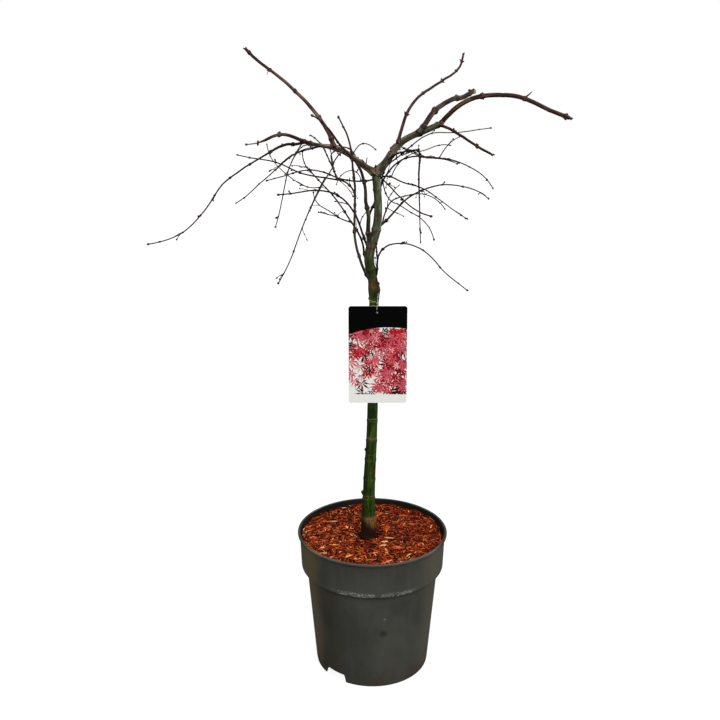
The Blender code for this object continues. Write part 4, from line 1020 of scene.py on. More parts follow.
def ballTemplate():
    # A cube of 26 points pushed out to a ball, drawn to a point at its top
    axis = np.array((-1, 0, 1))
    corners = np.stack(np.meshgrid(axis, axis, axis, indexing="ij"), axis=-1).reshape(-1, 3)
    points = corners[np.any(corners != 0, axis=1)].astype(float)
    number = {tuple(point): index for index, point in enumerate(points.astype(int).tolist())}
    quads = []
    for fixed, side, first, second in itertools.product(range(3), (-1, 1), (-1, 0), (-1, 0)):
        square = (first, second), (first + 1, second), (first + 1, second + 1), (first, second + 1)
        turned = [number[corner[:fixed] + (side,) + corner[fixed:]] for corner in square]
        quads.append(turned if side * (-1 if fixed == 1 else 1) > 0 else turned[::-1])
    points = unit(points)
    rise = (points[:, 2:] + 1) / 2
    points[:, :2] *= 0.5 * (1.12 - 0.75 * rise ** 2)
    points[:, 2:] = rise
    return points, np.array(quads)


def turnsFor(ways):
    # Rotations whose third column is the given way
    helper = np.where(np.abs(ways[:, 2:]) > 0.9, np.array(((1.0, 0, 0),)), np.array(((0, 0, 1.0),)))
    first = unit(np.cross(helper, ways))
    return np.stack((first, np.cross(ways, first), ways), axis=-1)


def makeBuds():
    places, ways, sizes = [], [], []
    for line, limb, nodes, seed in budSites:
        shares = np.append(nodes, budShape["tipAt"])
        centre, way, side, up = ringFrames(line, shares)
        radius = spread(limb.thick, shares) * mm / 2
        angle = np.arange(len(shares)) * math.pi / 2 + seed
        out = np.cos(angle)[:, None] * side + np.sin(angle)[:, None] * up
        atTip = np.arange(len(shares)) == len(nodes)
        slim = bool(radius[-1] < budShape["slimRadius"])
        lean = np.where(atTip, *budLeans[slim][::-1])[:, None]
        smallest, tipSwell = budSizes[slim]
        size = np.clip(radius / budShape["grownRadius"], smallest, budShape["largest"])
        seat = np.where(atTip, budShape["tipSeat"], budShape["seat"])
        for sign in (-1, 1):
            ways.append(unit(way + sign * out * lean / (1 - lean)))
            places.append(centre + sign * out * (radius * seat)[:, None])
            sizes.append(size * np.where(atTip, tipSwell, 1))
    places, ways, sizes = np.vstack(places), np.vstack(ways), np.concatenate(sizes)
    template, quads = ballTemplate()
    stretch = np.stack([sizes * budShape[key] for key in ("wide", "wide", "long")], axis=-1)
    heap = Heap()
    heap.addCopies(template[None] * stretch[:, None], quads, turnsFor(ways), places)
    paint = Paint("budScale")
    speck = paint.noise(paint.place(), 900, 3)
    colour = paint.tones(speck.step(0.4, 0.62), (44, 24, 20), (98, 56, 44))
    heap.build("winterBuds", paint.dress(colour, 0.38 + speck * 0.2, speck, 0.15 * mm, 0.6), "twig_bark")
    print("buds:", len(places))


makeBuds()


# Pot

pot = {"height": 0.297, "rim": 0.161, "lip": 4 * mm, "collarHeight": 0.0775, "collarTop": 0.1568,
       "collarFoot": 0.1535, "collarRound": 5 * mm, "bodyTop": 0.142, "base": 0.122, "wall": 2 * mm,
       "floorRise": 0.018, "pad": 0.040, "padSlope": 6 * mm, "notchWide": 0.057, "notchHigh": 0.0165,
       "notchRamps": ((-1, 0.095), (1, 0.045)), "notches": (229, 49), "drains": 6, "drainHeading": 19,
       "drainRadius": 6 * mm, "drainCircle": 0.080}


def arc(centre, radius, start, end, steps):
    # Points (radius, height) on a circle from one angle to another, in degrees
    angle = np.radians(np.linspace(start, end, steps))
    return [(centre[0] + radius * math.cos(a), centre[1] + radius * math.sin(a)) for a in angle]


def potProfile():
    # Points (radius, height) from the middle of the floor's underside, out and down the skirt, round
    # the bottom edge, up the outside, over the lip and down the inside to the middle of the floor
    base, wall, rise, top, rim, lip, pad = (
        pot[key] for key in ("base", "wall", "floorRise", "height", "rim", "lip", "pad"))
    tall, curve, upper, lower, body = (
        pot[key] for key in ("collarHeight", "collarRound", "collarTop", "collarFoot", "bodyTop"))
    skirt, low, slopeFoot = base - wall - 1.2 * mm, top - tall, pad + pot["padSlope"]
    straight = tall - lip - curve
    under = [(0.6 * mm, 0), (pad * 0.5, 0), (pad, 0), (slopeFoot, rise), (0.07, rise), (0.095, rise),
             (skirt - 1 * mm, rise)]
    edge = [(skirt, rise - 1 * mm), (skirt, 0.010), (skirt, 0.001), (skirt + 0.4 * mm, 0.0002),
            (skirt + 1.1 * mm, 0), (base - 1.1 * mm, 0), (base - 0.3 * mm, 0.6 * mm), (base, 2.2 * mm)]
    lean, slope = (body - base) / low, (upper - lower) / straight
    outside = [(base + lean * z, z) for z in np.linspace(0.008, low - 2.5 * mm, 26)]
    outside += [(body + 0.1 * mm, low - 0.9 * mm), (body + 1.0 * mm, low)]
    outside += arc((lower - curve, low + curve), curve, -78, 0, 7)
    outside += [(lower + slope * z, low + curve + z) for z in np.linspace(0.004, straight - 0.8 * mm, 12)]
    outside.append((rim - 1.2 * mm, top - lip))
    outside += arc((rim - 0.9 * mm, top - lip + 0.9 * mm), 0.9 * mm, -60, 0, 3)
    outside += arc((rim - 1.2 * mm, top - 1.2 * mm), 1.2 * mm, 0, 90, 6)
    inner = upper - wall
    inside = arc((inner + 0.9 * mm, top - 0.9 * mm), 0.9 * mm, 90, 180, 4)
    inside += [(inner - slope * z, top - z) for z in np.linspace(0.004, tall - curve, 9)]
    inside += [(body - wall + 3 * mm, low + 1.2 * mm), (body - wall, low - 1 * mm)]
    inside += [(base - wall + lean * z, z) for z in np.linspace(low - 0.02, rise + wall, 8)]
    floor = [(0.095, rise + wall), (0.07, rise + wall), (slopeFoot - wall, rise + wall), (pad - wall, wall),
             (0.6 * mm, wall)]
    return np.array(under + edge + outside + inside + floor)


def notchRise(turn):
    # Height of the bottom edge: 0, and the notch's height over each notch, with sloping round corners
    half = pot["notchWide"] / 2 / pot["base"]
    rise = np.zeros_like(turn)
    for heading in np.radians(pot["notches"]):
        away = (turn - heading + math.pi) % (2 * math.pi) - math.pi
        left, right = (np.clip((half - side * away) / ramp, 0, 1) for side, ramp in pot["notchRamps"])
        rise = np.maximum(rise, pot["notchHigh"] * np.sin(np.minimum(left, right) * math.pi / 2) ** 0.8)
    return rise


def potTurns():
    even = circle(224)
    half = pot["notchWide"] / 2 / pot["base"]
    edges = [math.radians(heading) + side * (half - step) for heading in pot["notches"]
             for side, ramp in pot["notchRamps"] for step in np.linspace(-0.001, ramp + 0.0005, 8)]
    return np.unique(np.round(np.concatenate((even, np.mod(edges, 2 * math.pi))), 5))


potSpots = (  # height, heading, reach, colour
    (0.129, -80.8, 11 * mm, (38, 36, 29)), (0.1635, -79.8, 3.4 * mm, (120, 120, 108)),
    (0.226, -43, 3.0 * mm, (122, 120, 110)), (0.262, -38, 1.8 * mm, (108, 110, 102)),
    (0.240, -30, 2.2 * mm, (96, 90, 74)))


def potPaint():
    # Charcoal plastic: cloudy tone, faint upright mould streaks, chalky specks above the collar's lower
    # edge in front, a brown film low down, and a few marks. Painted light on it: painted shade in a band on
    # the left below the collar, painted warm reflections at both side edges, a painted shadow line under the
    # collar, a painted highlight along the rim's top, and painted shade on the rim at the sides and on the
    # inner wall
    paint = Paint("potPlastic")
    place = paint.place()
    across, back, height = (paint.axis(place, axis) for axis in "XYZ")
    cloud = paint.noise(place, 9, 3)
    streak = paint.noise(paint.place(0.10), 60, 4, 0.6)
    fine = paint.noise(place, 900, 3, 0.7)
    speck = paint.noise(place, 330, 3, 0.8)
    top, low = pot["height"], pot["height"] - pot["collarHeight"]
    colour = paint.tones(cloud.step(0.35, 0.7), (59, 60, 54), (71, 72, 65))
    colour = colour.tint(streak.step(0.45, 0.75) * 0.3, (78, 80, 73))
    sideRagged = paint.noise(paint.place(0.25), 26, 4)
    sideways = across + (sideRagged - 0.5) * 0.03
    # A darker band left of the middle, below the collar: painted shade
    colour = colour.tint(sideways.near(-0.086, 0.036) * height.step(low + 3 * mm, low - 6 * mm) * 0.5,
                         (50, 48, 39))
    # Both side edges lighter and warmer: painted reflection
    colour = colour.tint(sideways.step(-0.098, -0.130) * 0.8, (104, 92, 68))
    colour = colour.tint(sideways.step(0.085, 0.134) * 0.7, (94, 91, 79))
    film = (paint.noise(place, 16, 4) + (0.055 - height) * 4.0).step(0.50, 0.95)
    colour = colour.tint(film * 0.7, (62, 47, 36))
    sector = back.step(-0.08, -0.13) * (across - 0.004).size().step(0.096, 0.060)
    patch = paint.noise(place, 42, 3)
    band = (height + (patch - 0.5) * 0.010 - low).near(7 * mm, 9 * mm)
    crumbs = paint.noise(place, 640, 2, 0.5).step(0.50, 0.64)
    chalk = crumbs * (patch + band * 0.12).step(0.49, 0.64) + speck.step(0.62, 0.74) * 0.3
    chalk = chalk * band.step(0.05, 0.6) * sector
    colour = colour.tint(paint.maths("MINIMUM", chalk * 0.8, 0.9), (182, 184, 176))
    # A near-black line just under the collar's lower edge: painted shadow of the collar
    colour = colour.tint(height.near(low + 0.2 * mm, 2.6 * mm).step(0.0, 0.6) * 0.9, (14, 14, 11))
    colour = colour.tint(speck.step(0.72, 0.80) * 0.18, (112, 112, 104))
    # A pale line along the top of the rim: painted highlight
    rimHighlight = height.step(top - 1.4 * mm, top - 0.2 * mm)
    colour = colour.tint(rimHighlight * streak * 0.45, (92, 89, 76))
    # The rim darker at both sides: painted shade; the same mask makes it rougher there
    rimSideShade = across.size().step(0.115, 0.150) * height.step(top - 7 * mm, top - 3 * mm)
    colour = colour.tint(rimSideShade * 0.7, (34, 30, 26))
    # The inner wall above the mulch darker: painted shade
    away = paint.node("VectorMath", {"operation": "LENGTH"}, {0: paint.place(0)}).out("Value")
    within = (away - (height - low) * 0.048).step(0.1526, 0.1517) * height.step(0.255, 0.262)
    colour = colour.tint(within * 0.95, (20, 19, 17))
    for level, heading, reach, spotColour in potSpots:
        radius = 0.122 + 0.091 * level if level < low else 0.155
        spot = (radius * math.cos(math.radians(heading)), radius * math.sin(math.radians(heading)), level)
        colour = colour.tint(paint.spot(spot, reach, speck) * 0.7, spotColour)
    rough = 0.46 + streak * 0.12 + chalk * 0.3 + cloud * 0.08 + rimSideShade * 0.35
    return paint.dress(colour, rough, fine * 0.35 + streak * 0.8, 0.25 * mm, 0.45, 0.16)


def makePot():
    # point = (radius cos turn, radius sin turn, height), where the skirt and the outside below the
    # floor are squeezed upwards over a notch
    profile, turn = potProfile(), potTurns()
    radius, height = profile[:, :1], profile[:, 1:]
    top = pot["floorRise"] + 2 * mm
    outer = (radius > pot["base"] - pot["wall"] - 2 * mm) & (height < top)
    lifted = np.where(outer, notchRise(turn)[None] * np.clip(1 - height / top, 0, 1) + height, height)
    points = np.stack((radius * np.cos(turn), radius * np.sin(turn), lifted), axis=-1)
    heap, drills, around = Heap(), Heap(), circle(20)
    heap.addGrid(points)
    shell = heap.build("potShell", potPaint(), "pot_plastic", ["pot"], sharp=45)
    for number in range(pot["drains"]):
        heading = math.radians(pot["drainHeading"] + 360 * number / pot["drains"])
        centre = pot["drainCircle"] * np.array((math.cos(heading), math.sin(heading)))
        ring = centre + pot["drainRadius"] * np.column_stack((np.cos(around), np.sin(around)))
        levels = pot["floorRise"] + np.array((-0.004, 0.006))
        drills.addGrid(np.stack([np.column_stack((ring, np.full(20, level))) for level in levels]))
    drill = drills.build("drills", shell.data.materials[0], "pot_plastic")
    cut = shell.modifiers.new("drain holes", "BOOLEAN")
    cut.operation, cut.solver, cut.object = "DIFFERENCE", "EXACT", drill
    drilled = bpy.data.meshes.new_from_object(shell.evaluated_get(bpy.context.evaluated_depsgraph_get()))
    shell.modifiers.clear()
    shell.data = drilled
    bpy.data.objects.remove(drill)


makePot()
print("pot done")


# Potting soil, which shows only where the mulch parts

def soilPaint():
    paint = Paint("pottingSoil")
    crumbs = paint.noise(paint.place(), 260, 5, 0.7)
    fibre = paint.noise(paint.place(0.3), 700, 3)
    colour = paint.tones(crumbs.step(0.4, 0.65), (24, 17, 12), (62, 45, 32))
    return paint.dress(colour, 0.9 - fibre * 0.1, crumbs + fibre * 0.4, 2 * mm, 0.8)


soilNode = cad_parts["potting_soil"]
soilNode.data.materials.clear()
soilNode.data.materials.append(soilPaint())


# Bark mulch: a lumpy bed and thousands of shreds in five tones

mulch = {"edge": pot["height"] - 14 * mm, "crown": 2 * mm, "frontRise": 2.5 * mm, "wallRise": 3.2 * mm,
         "reach": 0.1535, "trunkFoot": 15.5 * mm, "trunkRoom": 17.5 * mm, "dip": 9 * mm, "dipReach": 0.015,
         "dipFoot": 16 * mm, "darkReach": 30 * mm, "boldLift": 2.5 * mm, "boldThick": 1.5 * mm, "seed": 5,
         "count": 6000, "length": (0.009, 0.030), "width": (1.1, 2.9), "thick": (0.6, 1.3), "tilt": 11,
         "lift": (-1.6, 2.4)}
mulchTones = {  # share, then darker and lighter tone
    "dark": (0.20, (20, 5, 2), (46, 12, 4)), "deep": (0.28, (76, 18, 5), (106, 29, 8)),
    "brick": (0.29, (132, 40, 10), (160, 56, 17)), "orange": (0.21, (176, 74, 23), (212, 106, 42)),
    "pale": (0.02, (222, 142, 80), (248, 190, 126))}
boldShreds = (  # x and y, heading, length and width in millimetres, kind
    (36, -26, 0, 20, 3.4, 4), (26, -46, 3, 15, 3.6, 4), (18, -59, -2, 19, 3.8, 4),
    (56, -68, 12, 25, 5.0, 3), (52, -64, -14, 20, 4.2, 3), (63, -17, 8, 18, 4.0, 2),
    (99, -49, 62, 18, 4.0, 3), (73, -98, 48, 17, 3.0, 4), (-50, -103, 40, 20, 3.2, 4),
    (-86, 57, 2, 20, 2.8, 4), (-106, 57, -4, 17, 3.0, 3), (-4, -125, 3, 22, 3.4, 3),
    (29, -125, 38, 22, 3.2, 4), (-55, 24, 80, 9, 5.0, 4), (-72, -60, 115, 16, 3.4, 3),
    (84, 40, 140, 18, 3.0, 3))


def mulchHeight(x, y):
    # Level of the bed: edge + crown that falls off with the square of the distance from the middle,
    # plus a rise towards the front, one at the wall and ripples, less the dip round the trunk
    away = np.hypot(x, y) / mulch["reach"]
    trunkAway = np.hypot(x - trunkLine[0, 0], y - trunkLine[0, 1])
    lumps = ripples(31, x, np.arctan2(y, x), 12, 55, 6) * 1.5 * mm
    lumps = lumps + np.sin(x * 210 + 2 * np.sin(y * 170)) * np.sin(y * 190 + 1) * 0.8 * mm
    dip = mulch["dip"] * bell(np.maximum(trunkAway - mulch["dipFoot"], 0), mulch["dipReach"])
    rise = mulch["frontRise"] * (0.5 - 0.5 * y / mulch["reach"]) + mulch["wallRise"] * away ** 6
    return mulch["edge"] + mulch["crown"] * (1 - away ** 2) + rise + lumps - dip


def mulchPaint(name, dark, light):
    paint = Paint(name)
    fibre = paint.noise(paint.place(), 1100, 4, 0.7)
    patch = paint.noise(paint.place(), 120, 3)
    colour = paint.tones(patch.step(0.35, 0.65), dark, light)
    colour = colour.tint(fibre.step(0.55, 0.75) * 0.3, [min(255, value + 24) for value in light])
    return paint.dress(colour, 0.62 + fibre * 0.25, fibre, 0.3 * mm, 0.6, 0.08)


def makeMulchBed():
    # point = (radius cos turn, radius sin turn, bed level) inside, then down the pot's wall and under
    turn = circle(160)
    wall = mulch["reach"] - np.array((1, 3)) * mm
    rows = np.concatenate((np.linspace(mulch["trunkFoot"], mulch["reach"], 60), wall))
    radius = rows[:, None] * np.ones(160)
    centreX = trunkLine[0, 0] * (1 - radius / mulch["reach"]).clip(0)
    x, y = centreX + radius * np.cos(turn), radius * np.sin(turn)
    z = mulchHeight(x, y) - 1.5 * mm
    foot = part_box("bark_mulch")[0].z
    z[-2:] = ((foot + 4 * mm,), (foot,))
    z = np.vstack((np.full(160, foot), z))
    heap = Heap()
    heap.addGrid(np.stack((np.vstack((x[:1], x)), np.vstack((y[:1], y)), z), axis=-1)[::-1], ring=True)
    # The bed is near-black brown: painted shade in the gaps between the shreds
    heap.build("mulchBed", mulchPaint("mulchBedShade", (22, 7, 3), (52, 17, 8)), "bark_mulch", ["bark_mulch"])


def shredTemplate():
    # Four square rings from one pointed end to the other, closed by a face at each end
    steps = np.linspace(-0.5, 0.5, 4)
    width = np.array((0.28, 1.0, 0.86, 0.22)) / 2
    height = np.array((0.5, 1.0, 0.9, 0.4)) / 2
    corner = np.array(((-1, -1), (1, -1), (1, 1), (-1, 1)))
    points = np.stack([np.column_stack((np.full(4, step), corner[:, 0] * wide, corner[:, 1] * high))
                       for step, wide, high in zip(steps, width, height)]).reshape(-1, 3)
    ring = np.arange(4)
    sides = [np.stack((ring + 4 * row, np.roll(ring, -1) + 4 * row, np.roll(ring, -1) + 4 * (row + 1),
                       ring + 4 * (row + 1)), axis=-1) for row in range(3)]
    return points, np.vstack([*sides, [ring[::-1]], [ring + 12]])


def axisTurn(angle, axis):
    # Rotation matrices about one axis
    first, second = (axis + 1) % 3, (axis + 2) % 3
    turns = np.zeros((len(angle), 3, 3))
    turns[:, axis, axis] = 1
    turns[:, first, first] = turns[:, second, second] = np.cos(angle)
    turns[:, first, second], turns[:, second, first] = -np.sin(angle), np.sin(angle)
    return turns


def makeShreds():
    # Shreds strewn evenly over the bed, turned along the pot's wall where they would cross it
    rng = np.random.default_rng(mulch["seed"])
    count = mulch["count"]
    away = mulch["reach"] * np.sqrt(rng.uniform(0, 1, count)) * 0.985
    turn = rng.uniform(0, 2 * math.pi, count)
    x, y = away * np.cos(turn), away * np.sin(turn)
    trunkAway = np.hypot(x - trunkLine[0, 0], y - trunkLine[0, 1])
    clear = trunkAway > mulch["trunkRoom"]
    x, y, trunkAway = x[clear], y[clear], trunkAway[clear]
    count = len(x)
    length = rng.uniform(*mulch["length"], count) * rng.uniform(0.6, 1.0, count)
    width, thick = rng.uniform(*mulch["width"], count) * mm, rng.uniform(*mulch["thick"], count) * mm
    room = (mulch["reach"] - 0.5 * mm - np.hypot(x, y)).clip(0.0035)
    yaw = rng.uniform(0, 2 * math.pi, count)
    tangent = np.arctan2(y, x) + math.pi / 2
    yaw = np.where(room < length / 2, tangent + rng.normal(0, 0.12, count), yaw)
    length = np.minimum(length, 3 * np.sqrt(room * mulch["reach"]))
    pitch, roll = np.radians(rng.normal(0, mulch["tilt"], (2, count)))
    bold = len(boldShreds)
    units = np.array((mm, mm, math.pi / 180, mm, mm, 1))[:, None]
    x[:bold], y[:bold], yaw[:bold], length[:bold], width[:bold], boldKind = np.array(boldShreds).T * units
    thick[:bold] = mulch["boldThick"]
    pitch[:bold] *= 0.3
    roll[:bold] *= 0.3
    z = mulchHeight(x, y) + rng.uniform(*mulch["lift"], count) * mm - np.abs(np.sin(pitch)) * length * 0.2
    z[:bold] += mulch["boldLift"]
    trunkAway[:bold] = 1.0
    template, quads = shredTemplate()
    points = template[None] * np.stack((length, width, thick), axis=-1)[:, None]
    bow = rng.normal(0, 0.10, count)[:, None] * length[:, None] * (template[:, 0] * 2) ** 2
    points[..., 2] += np.abs(bow) * -0.5 + bow * 0.3
    points[..., 1] += rng.normal(0, 0.09, count)[:, None] * length[:, None] * (template[:, 0] * 2) ** 2
    turns = axisTurn(yaw, 2) @ axisTurn(pitch, 1) @ axisTurn(roll, 0)
    places = np.column_stack((x, y, z))
    kind = rng.choice(len(mulchTones), count, p=[share for share, _, _ in mulchTones.values()])
    # The share that turns dark grows towards the right and the rear, and round the trunk, where the dark
    # shreds are painted shade of the hollow at the trunk's foot
    shade = 0.10 + 0.14 * (x + y) / mulch["reach"] + 0.8 * np.exp(-(trunkAway / mulch["darkReach"]) ** 4)
    kind = np.where(rng.random(count) < shade, np.minimum(kind, 1), kind)
    kind = np.where((trunkAway < 26 * mm) & (rng.random(count) < 0.8), 0, kind)
    kind = np.where(rng.random(count) < -shade + 0.10, np.minimum(kind + 1, 4), kind)
    kind[:bold] = boldKind
    for number, (name, (_, dark, light)) in enumerate(mulchTones.items()):
        chosen = kind == number
        heap = Heap()
        heap.addCopies(points[chosen], quads, turns[chosen], places[chosen])
        paint = mulchPaint(f"{name}Bark", dark, light)
        heap.build(f"mulchShreds{name.title()}", paint, "bark_mulch", sharp=35)


makeMulchBed()
makeShreds()
print("mulch done")


# Label: a punched card with a header, a field of leaf sprays and a bare strip

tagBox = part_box("hang_tag")
label = {"wide": tagBox[1].x - tagBox[0].x, "high": tagBox[1].z - tagBox[0].z, "corner": 5 * mm,
         "middle": ((tagBox[0].x + tagBox[1].x) / 2, (tagBox[0].z + tagBox[1].z) / 2), "edge": 0.15 * mm,
         "front": tagBox[0].y, "back": tagBox[1].y, "hole": 2.2 * mm, "holeDrop": 12.5 * mm,
         "holeShift": -2 * mm, "strip": 18.5 * mm, "headerLeft": 59.5 * mm, "headerPeak": 44.5 * mm,
         "headerRight": 48 * mm, "inkLift": 0.05 * mm}


def headerEdge(x):
    # Lower edge of the header below the card's top: a parabola through its left end, its crest and
    # its right end, x from the card's middle
    left, right, crest = -label["wide"] / 2, label["wide"] / 2, 0.027
    drops = [label[key] for key in ("headerLeft", "headerPeak", "headerRight")]
    fit = np.polyfit((left, crest, right), drops, 2)
    return label["high"] / 2 - np.polyval(fit, x)


def roundedOutline():
    # Corner arcs of the card, anticlockwise, from the middle of the card
    angle = np.radians(np.linspace(0, 90, 9))[None] + np.radians(np.arange(4) * 90)[:, None]
    sign = np.array(((1, 1), (-1, 1), (-1, -1), (1, -1)))
    centre = sign * (np.array((label["wide"], label["high"])) / 2 - label["corner"])
    return (centre[:, None] + label["corner"] * np.stack((np.cos(angle), np.sin(angle)), -1)).reshape(-1, 2)


def atDepth(points, depth):
    # Points of the card's own plane, from its middle, at a depth in the scene
    middle = label["middle"]
    return np.column_stack((points[:, 0] + middle[0], np.full(len(points), depth), points[:, 1] + middle[1]))


def punched(outline, front, back, edge):
    # A flat plate with a round hole: rings run from the hole over the front, round the edge, and back
    # over the back to the hole. Points of each ring lie on the same rays from the hole's middle.
    hole = np.array((label["holeShift"], label["high"] / 2 - label["holeDrop"]))
    rays = outline - hole
    ways = unit(rays)
    inner, outer = hole + label["hole"] * ways, outline
    shrunk = outline - edge * ways
    rings = [(inner, front + edge), (hole + (label["hole"] + edge) * ways, front), (hole + rays * 0.4, front),
             (shrunk, front), (outer, front + edge), (outer, back - edge), (shrunk, back),
             (hole + rays * 0.4, back), (hole + (label["hole"] + edge) * ways, back), (inner, back - edge)]
    return np.stack([atDepth(ring, depth) for ring, depth in rings])


def cardPaint(name, share, first, second):
    paint = Paint(name)
    fine = paint.noise(paint.place(), 700, 3)
    scuff = paint.noise(paint.place(2.5), 60, 4, 0.7).step(0.62, 0.8)
    colour = paint.tones(fine.step(0.35, 0.7) * share, first, second)
    return paint.dress(colour, 0.30 + scuff * 0.15, fine, 0.03 * mm, 0.4, 0.06)


def makeLabel():
    card, header, outline = Heap(), Heap(), roundedOutline()
    card.addGrid(punched(outline, label["front"], label["back"], label["edge"]), ring=True)
    paint = cardPaint("labelCard", 0.4, (244, 245, 239), (250, 251, 245))
    card.build("labelCard", paint, "tag_card", ["hang_tag"], sharp=30)
    upper = outline[outline[:, 1] > headerEdge(outline[:, 0]) + 1 * mm]
    x = np.linspace(-label["wide"] / 2, label["wide"] / 2, 40)
    upper, front = np.vstack((upper, np.column_stack((x, headerEdge(x))))), label["front"]
    header.addGrid(punched(upper * 0.9985, front - 2 * label["inkLift"], front + 0.2 * mm, 0.02 * mm),
                   ring=True)
    header.build("labelHeader", cardPaint("labelBlack", 0.3, (4, 5, 4), (7, 8, 7)), "tag_card", sharp=30)


leafPrint = {"count": 210, "size": (12 * mm, 27 * mm), "seed": 12}
leafInks = {  # share, then darker and lighter tone; each lies mostly over the one before
    "shade": (0.20, (24, 4, 6), (50, 6, 12)), "maroon": (0.27, (96, 8, 18), (130, 14, 26)),
    "red": (0.30, (172, 18, 32), (204, 38, 48)), "rose": (0.14, (204, 72, 90), (224, 112, 124)),
    "blush": (0.09, (244, 206, 196), (250, 228, 216))}


def leafLobes(rng, centre, size, heading, lobes):
    # Blades that fan out from the leaf's foot: half width = width * sin(pi * t ^ 0.8), where t runs
    # from foot to tip, with teeth from a fast wave, and a midline that bends with t squared
    t = np.linspace(0, 1, 10)
    fan = np.radians(np.linspace(-112, 112, lobes))
    reach = size * (1 - 0.42 * (np.abs(fan) / np.radians(118)) ** 1.6) * rng.uniform(0.85, 1.1, lobes)
    angle = heading + fan[:, None] + rng.uniform(-0.3, 0.3, lobes)[:, None] * t ** 2
    half = 0.082 * size * np.sin(math.pi * np.clip(t, 0.01, 0.995) ** 0.8) * (0.7 + 0.3 * np.sin(t * 47))
    middle = centre + (reach[:, None] * t)[..., None] * np.stack((np.cos(angle), np.sin(angle)), -1)
    across = np.stack((-np.sin(angle), np.cos(angle)), -1) * half[None, :, None]
    return np.stack((middle - across, middle + across), axis=2)


def makeLeafPrint():
    # Leaves strewn over the field, thinning out towards its lower left, each held inside its edges
    rng = np.random.default_rng(leafPrint["seed"])
    wide, front = label["wide"], label["front"]
    low, edge = -label["high"] / 2 + label["strip"], 0.3 * mm
    heaps = {name: Heap() for name in leafInks}
    shares = [share for share, _, _ in leafInks.values()]
    made = 0
    while made < leafPrint["count"]:
        x = rng.uniform(-0.5, 0.5) * wide
        top = float(headerEdge(x))
        level = rng.random()
        crowd = -0.06 + 0.55 * level + 0.6 * (x / wide + 0.5) + 0.25 * math.sin(900 * x + 5 * level)
        if rng.random() > crowd:
            continue
        centre = np.array((x, low + level * (top - low)))
        heading = math.radians(-115 + rng.normal(0, 40))
        number = int(rng.choice(len(shares), p=shares))
        size = rng.uniform(*leafPrint["size"]) * (0.55 if number == 4 else 1.0)
        blades = leafLobes(rng, centre, size, heading, 7)
        blades[..., 0] = np.clip(blades[..., 0], -wide / 2 + edge, wide / 2 - edge)
        blades[..., 1] = np.clip(blades[..., 1], low, headerEdge(blades[..., 0]) + 0.5 * mm)
        lift = front - label["inkLift"] * (0.5 + 0.22 * number + 0.8 * rng.random())
        for blade in blades:
            faces = [(blade[:, 0], lift), (blade[:, 1], lift), (blade[:, 1], front + 0.05 * mm),
                     (blade[:, 0], front + 0.05 * mm)]
            rings = np.stack([atDepth(side, depth) for side, depth in faces], axis=1)
            heaps[list(leafInks)[number]].addGrid(rings[:, ::-1])
        made += 1
    for name, heap in heaps.items():
        _, dark, light = leafInks[name]
        paint = cardPaint(f"ink{name.title()}", 1.0, dark, light)
        heap.build(f"labelLeaves{name.title()}", paint, "tag_card", sharp=40)


tie = {"height": 0.8030, "rise": (19 * mm, -1.2 * mm), "thick": 1.2 * mm, "gap": 0.3 * mm, "from": -38,
       "to": 292}


def tieRoute():
    # From the front right once round the trunk, falling all the way to the front, down behind the card,
    # through its hole and up in front of it to the start
    centre = trunkPointAt(tie["height"])
    shares = np.linspace(0, 1, 200)
    levels = along(trunkLine, shares)[:, 2]
    bark = float(np.interp(tie["height"], levels, trunkRadii(shares, circle(8))[0].max(axis=1)))
    radius = tie["thick"] / 2
    reach = bark + tie["gap"] + radius
    middle, drop = label["middle"], label["high"] / 2
    hole = np.array((middle[0] + label["holeShift"], (label["front"] + label["back"]) / 2,
                     middle[1] + drop - label["holeDrop"]))
    front = radius + (label["back"] - label["front"]) / 2 + 0.4 * mm
    angle = np.radians(np.linspace(tie["from"], tie["to"], 30))
    rise = tie["rise"][1] + (tie["rise"][0] - tie["rise"][1]) * np.linspace(1, 0, 30) ** 1.3
    around = centre + np.column_stack((reach * np.cos(angle), reach * np.sin(angle), rise))
    top = middle[1] + drop + 1.5 * mm
    dip = np.array(((hole[0] + 0.9 * mm, hole[1] + front, top), hole + (0.9 * mm, front, 6 * mm),
                    hole + (0.5 * mm, front * 0.8, 0.6 * mm), hole + (0, 0, 0.2 * mm),
                    hole + (-0.4 * mm, -front * 0.8, 0.6 * mm), hole + (-0.2 * mm, -front, 6 * mm),
                    (hole[0] + 0.3 * mm, hole[1] - front, top)))
    return np.vstack((around, dip)), radius


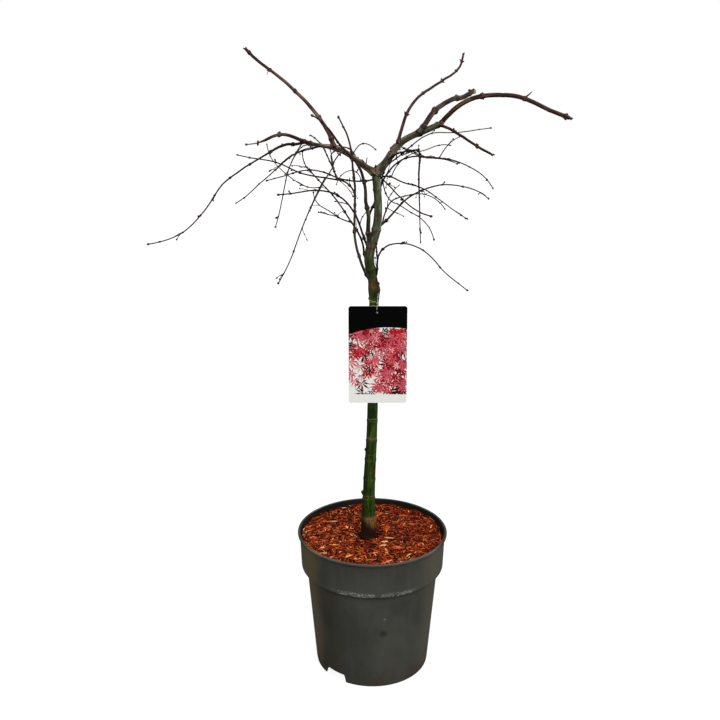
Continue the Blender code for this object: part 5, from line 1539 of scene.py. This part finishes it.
def makeTie():
    # A closed tube: its corners are rounded by Catmull-Rom pieces, point = a cubic of t between
    # neighbouring points
    route, radius = tieRoute()
    before, after, later = np.roll(route, 1, 0), np.roll(route, -1, 0), np.roll(route, -2, 0)
    t = np.linspace(0, 1, 9)[:-1, None, None]
    path = 0.5 * (2 * route + (after - before) * t + (2 * before - 5 * route + 4 * after - later) * t ** 2
                  + (3 * route - before - 3 * after + later) * t ** 3)
    path = path.transpose(1, 0, 2).reshape(-1, 3)
    ways = unit(np.roll(path, -1, 0) - np.roll(path, 1, 0))
    side = unit(np.cross(ways, np.array((0.15, 0.25, 0.96))))  # square to a way that the tie never takes
    heap = Heap()
    heap.addGrid(wrap(path, side, np.cross(ways, side), np.full((len(path), 12), radius)), ring=True)
    paint = Paint("clearTie")
    haze = paint.noise(paint.place(), 420, 3)
    wire = paint.tones(paint.noise(paint.place(), 330, 2).step(0.46, 0.54), (26, 26, 26), (196, 200, 200))
    colour = paint.mix(paint.axis(paint.place()).step(3.5 * mm, 5.5 * mm), tone(160, 172, 112), wire)
    paint.dress(colour, 0.25 + haze * 0.2, haze, 0.1 * mm, 0.5)
    heap.build("labelTie", paint.owner, "tag_tie", ["tag_loop"])


makeLabel()
makeLeafPrint()
makeTie()
print("label done")


# Floor and light: soft light from the sky, a broad lamp from the front right, one from the front left,
# one from above and one from behind. The sky is dim below the horizon and the floor throws no light
# back, so undersides stay dark. The floor glows a little of itself, which keeps shadows on it faint
# and lets it meet the sky with no edge.

studio = {"sky": 0.52, "below": 0.10, "floorHalf": 40, "floorGlow": 0.90}
lamps = {  # strength, spread in degrees, and the way that it stands
    "keyLamp": (1.80, 34, (0.70, -1.0, 0.95)), "fillLamp": (0.50, 50, (-0.60, -1.0, 0.60)),
    "topLamp": (0.55, 60, (0.1, 0.15, 1.0)), "backLamp": (0.70, 50, (0.35, 1.0, 0.36))}


def makeStudio():
    half, white = studio["floorHalf"], (1, 1, 1, 1)
    mesh = bpy.data.meshes.new("floor")
    corners = [(-half, -half, 0), (half, -half, 0), (half, half, 0), (-half, half, 0)]
    mesh.from_pydata(corners, [], [(0, 1, 2, 3)])
    mesh.materials.append(Paint("paleFloor").cover(
        {"Base Color": tone(110, 110, 110), "Roughness": 0.9, "Specular IOR Level": 0.0,
         "Emission Color": white, "Emission Strength": studio["floorGlow"]}))
    floor = addObject("floor", mesh)
    floor.visible_diffuse = floor.visible_glossy = False
    sky = Paint("paleStudio", "worlds", "Background")
    up = sky.axis(sky.node("TexCoord").out("Generated"), "Z")
    glow = up.step(-0.35, 0.25) * (studio["sky"] - studio["below"]) + studio["below"]
    seen = sky.node("LightPath").out("Is Camera Ray")
    bpy.context.scene.world = sky.cover({"Color": white, "Strength": glow * (1 - seen) + seen})
    for name, (strength, width, (x, y, z)) in lamps.items():
        lamp = bpy.data.lights.new(name, "SUN")
        lamp.energy, lamp.angle = strength, math.radians(width)
        turn = math.atan2(y, x) + math.pi / 2
        addObject(name, lamp).rotation_euler = math.atan2(math.hypot(x, y), z), 0, turn
    bpy.context.scene.view_settings.view_transform = "Standard"


makeStudio()
print("studio done")
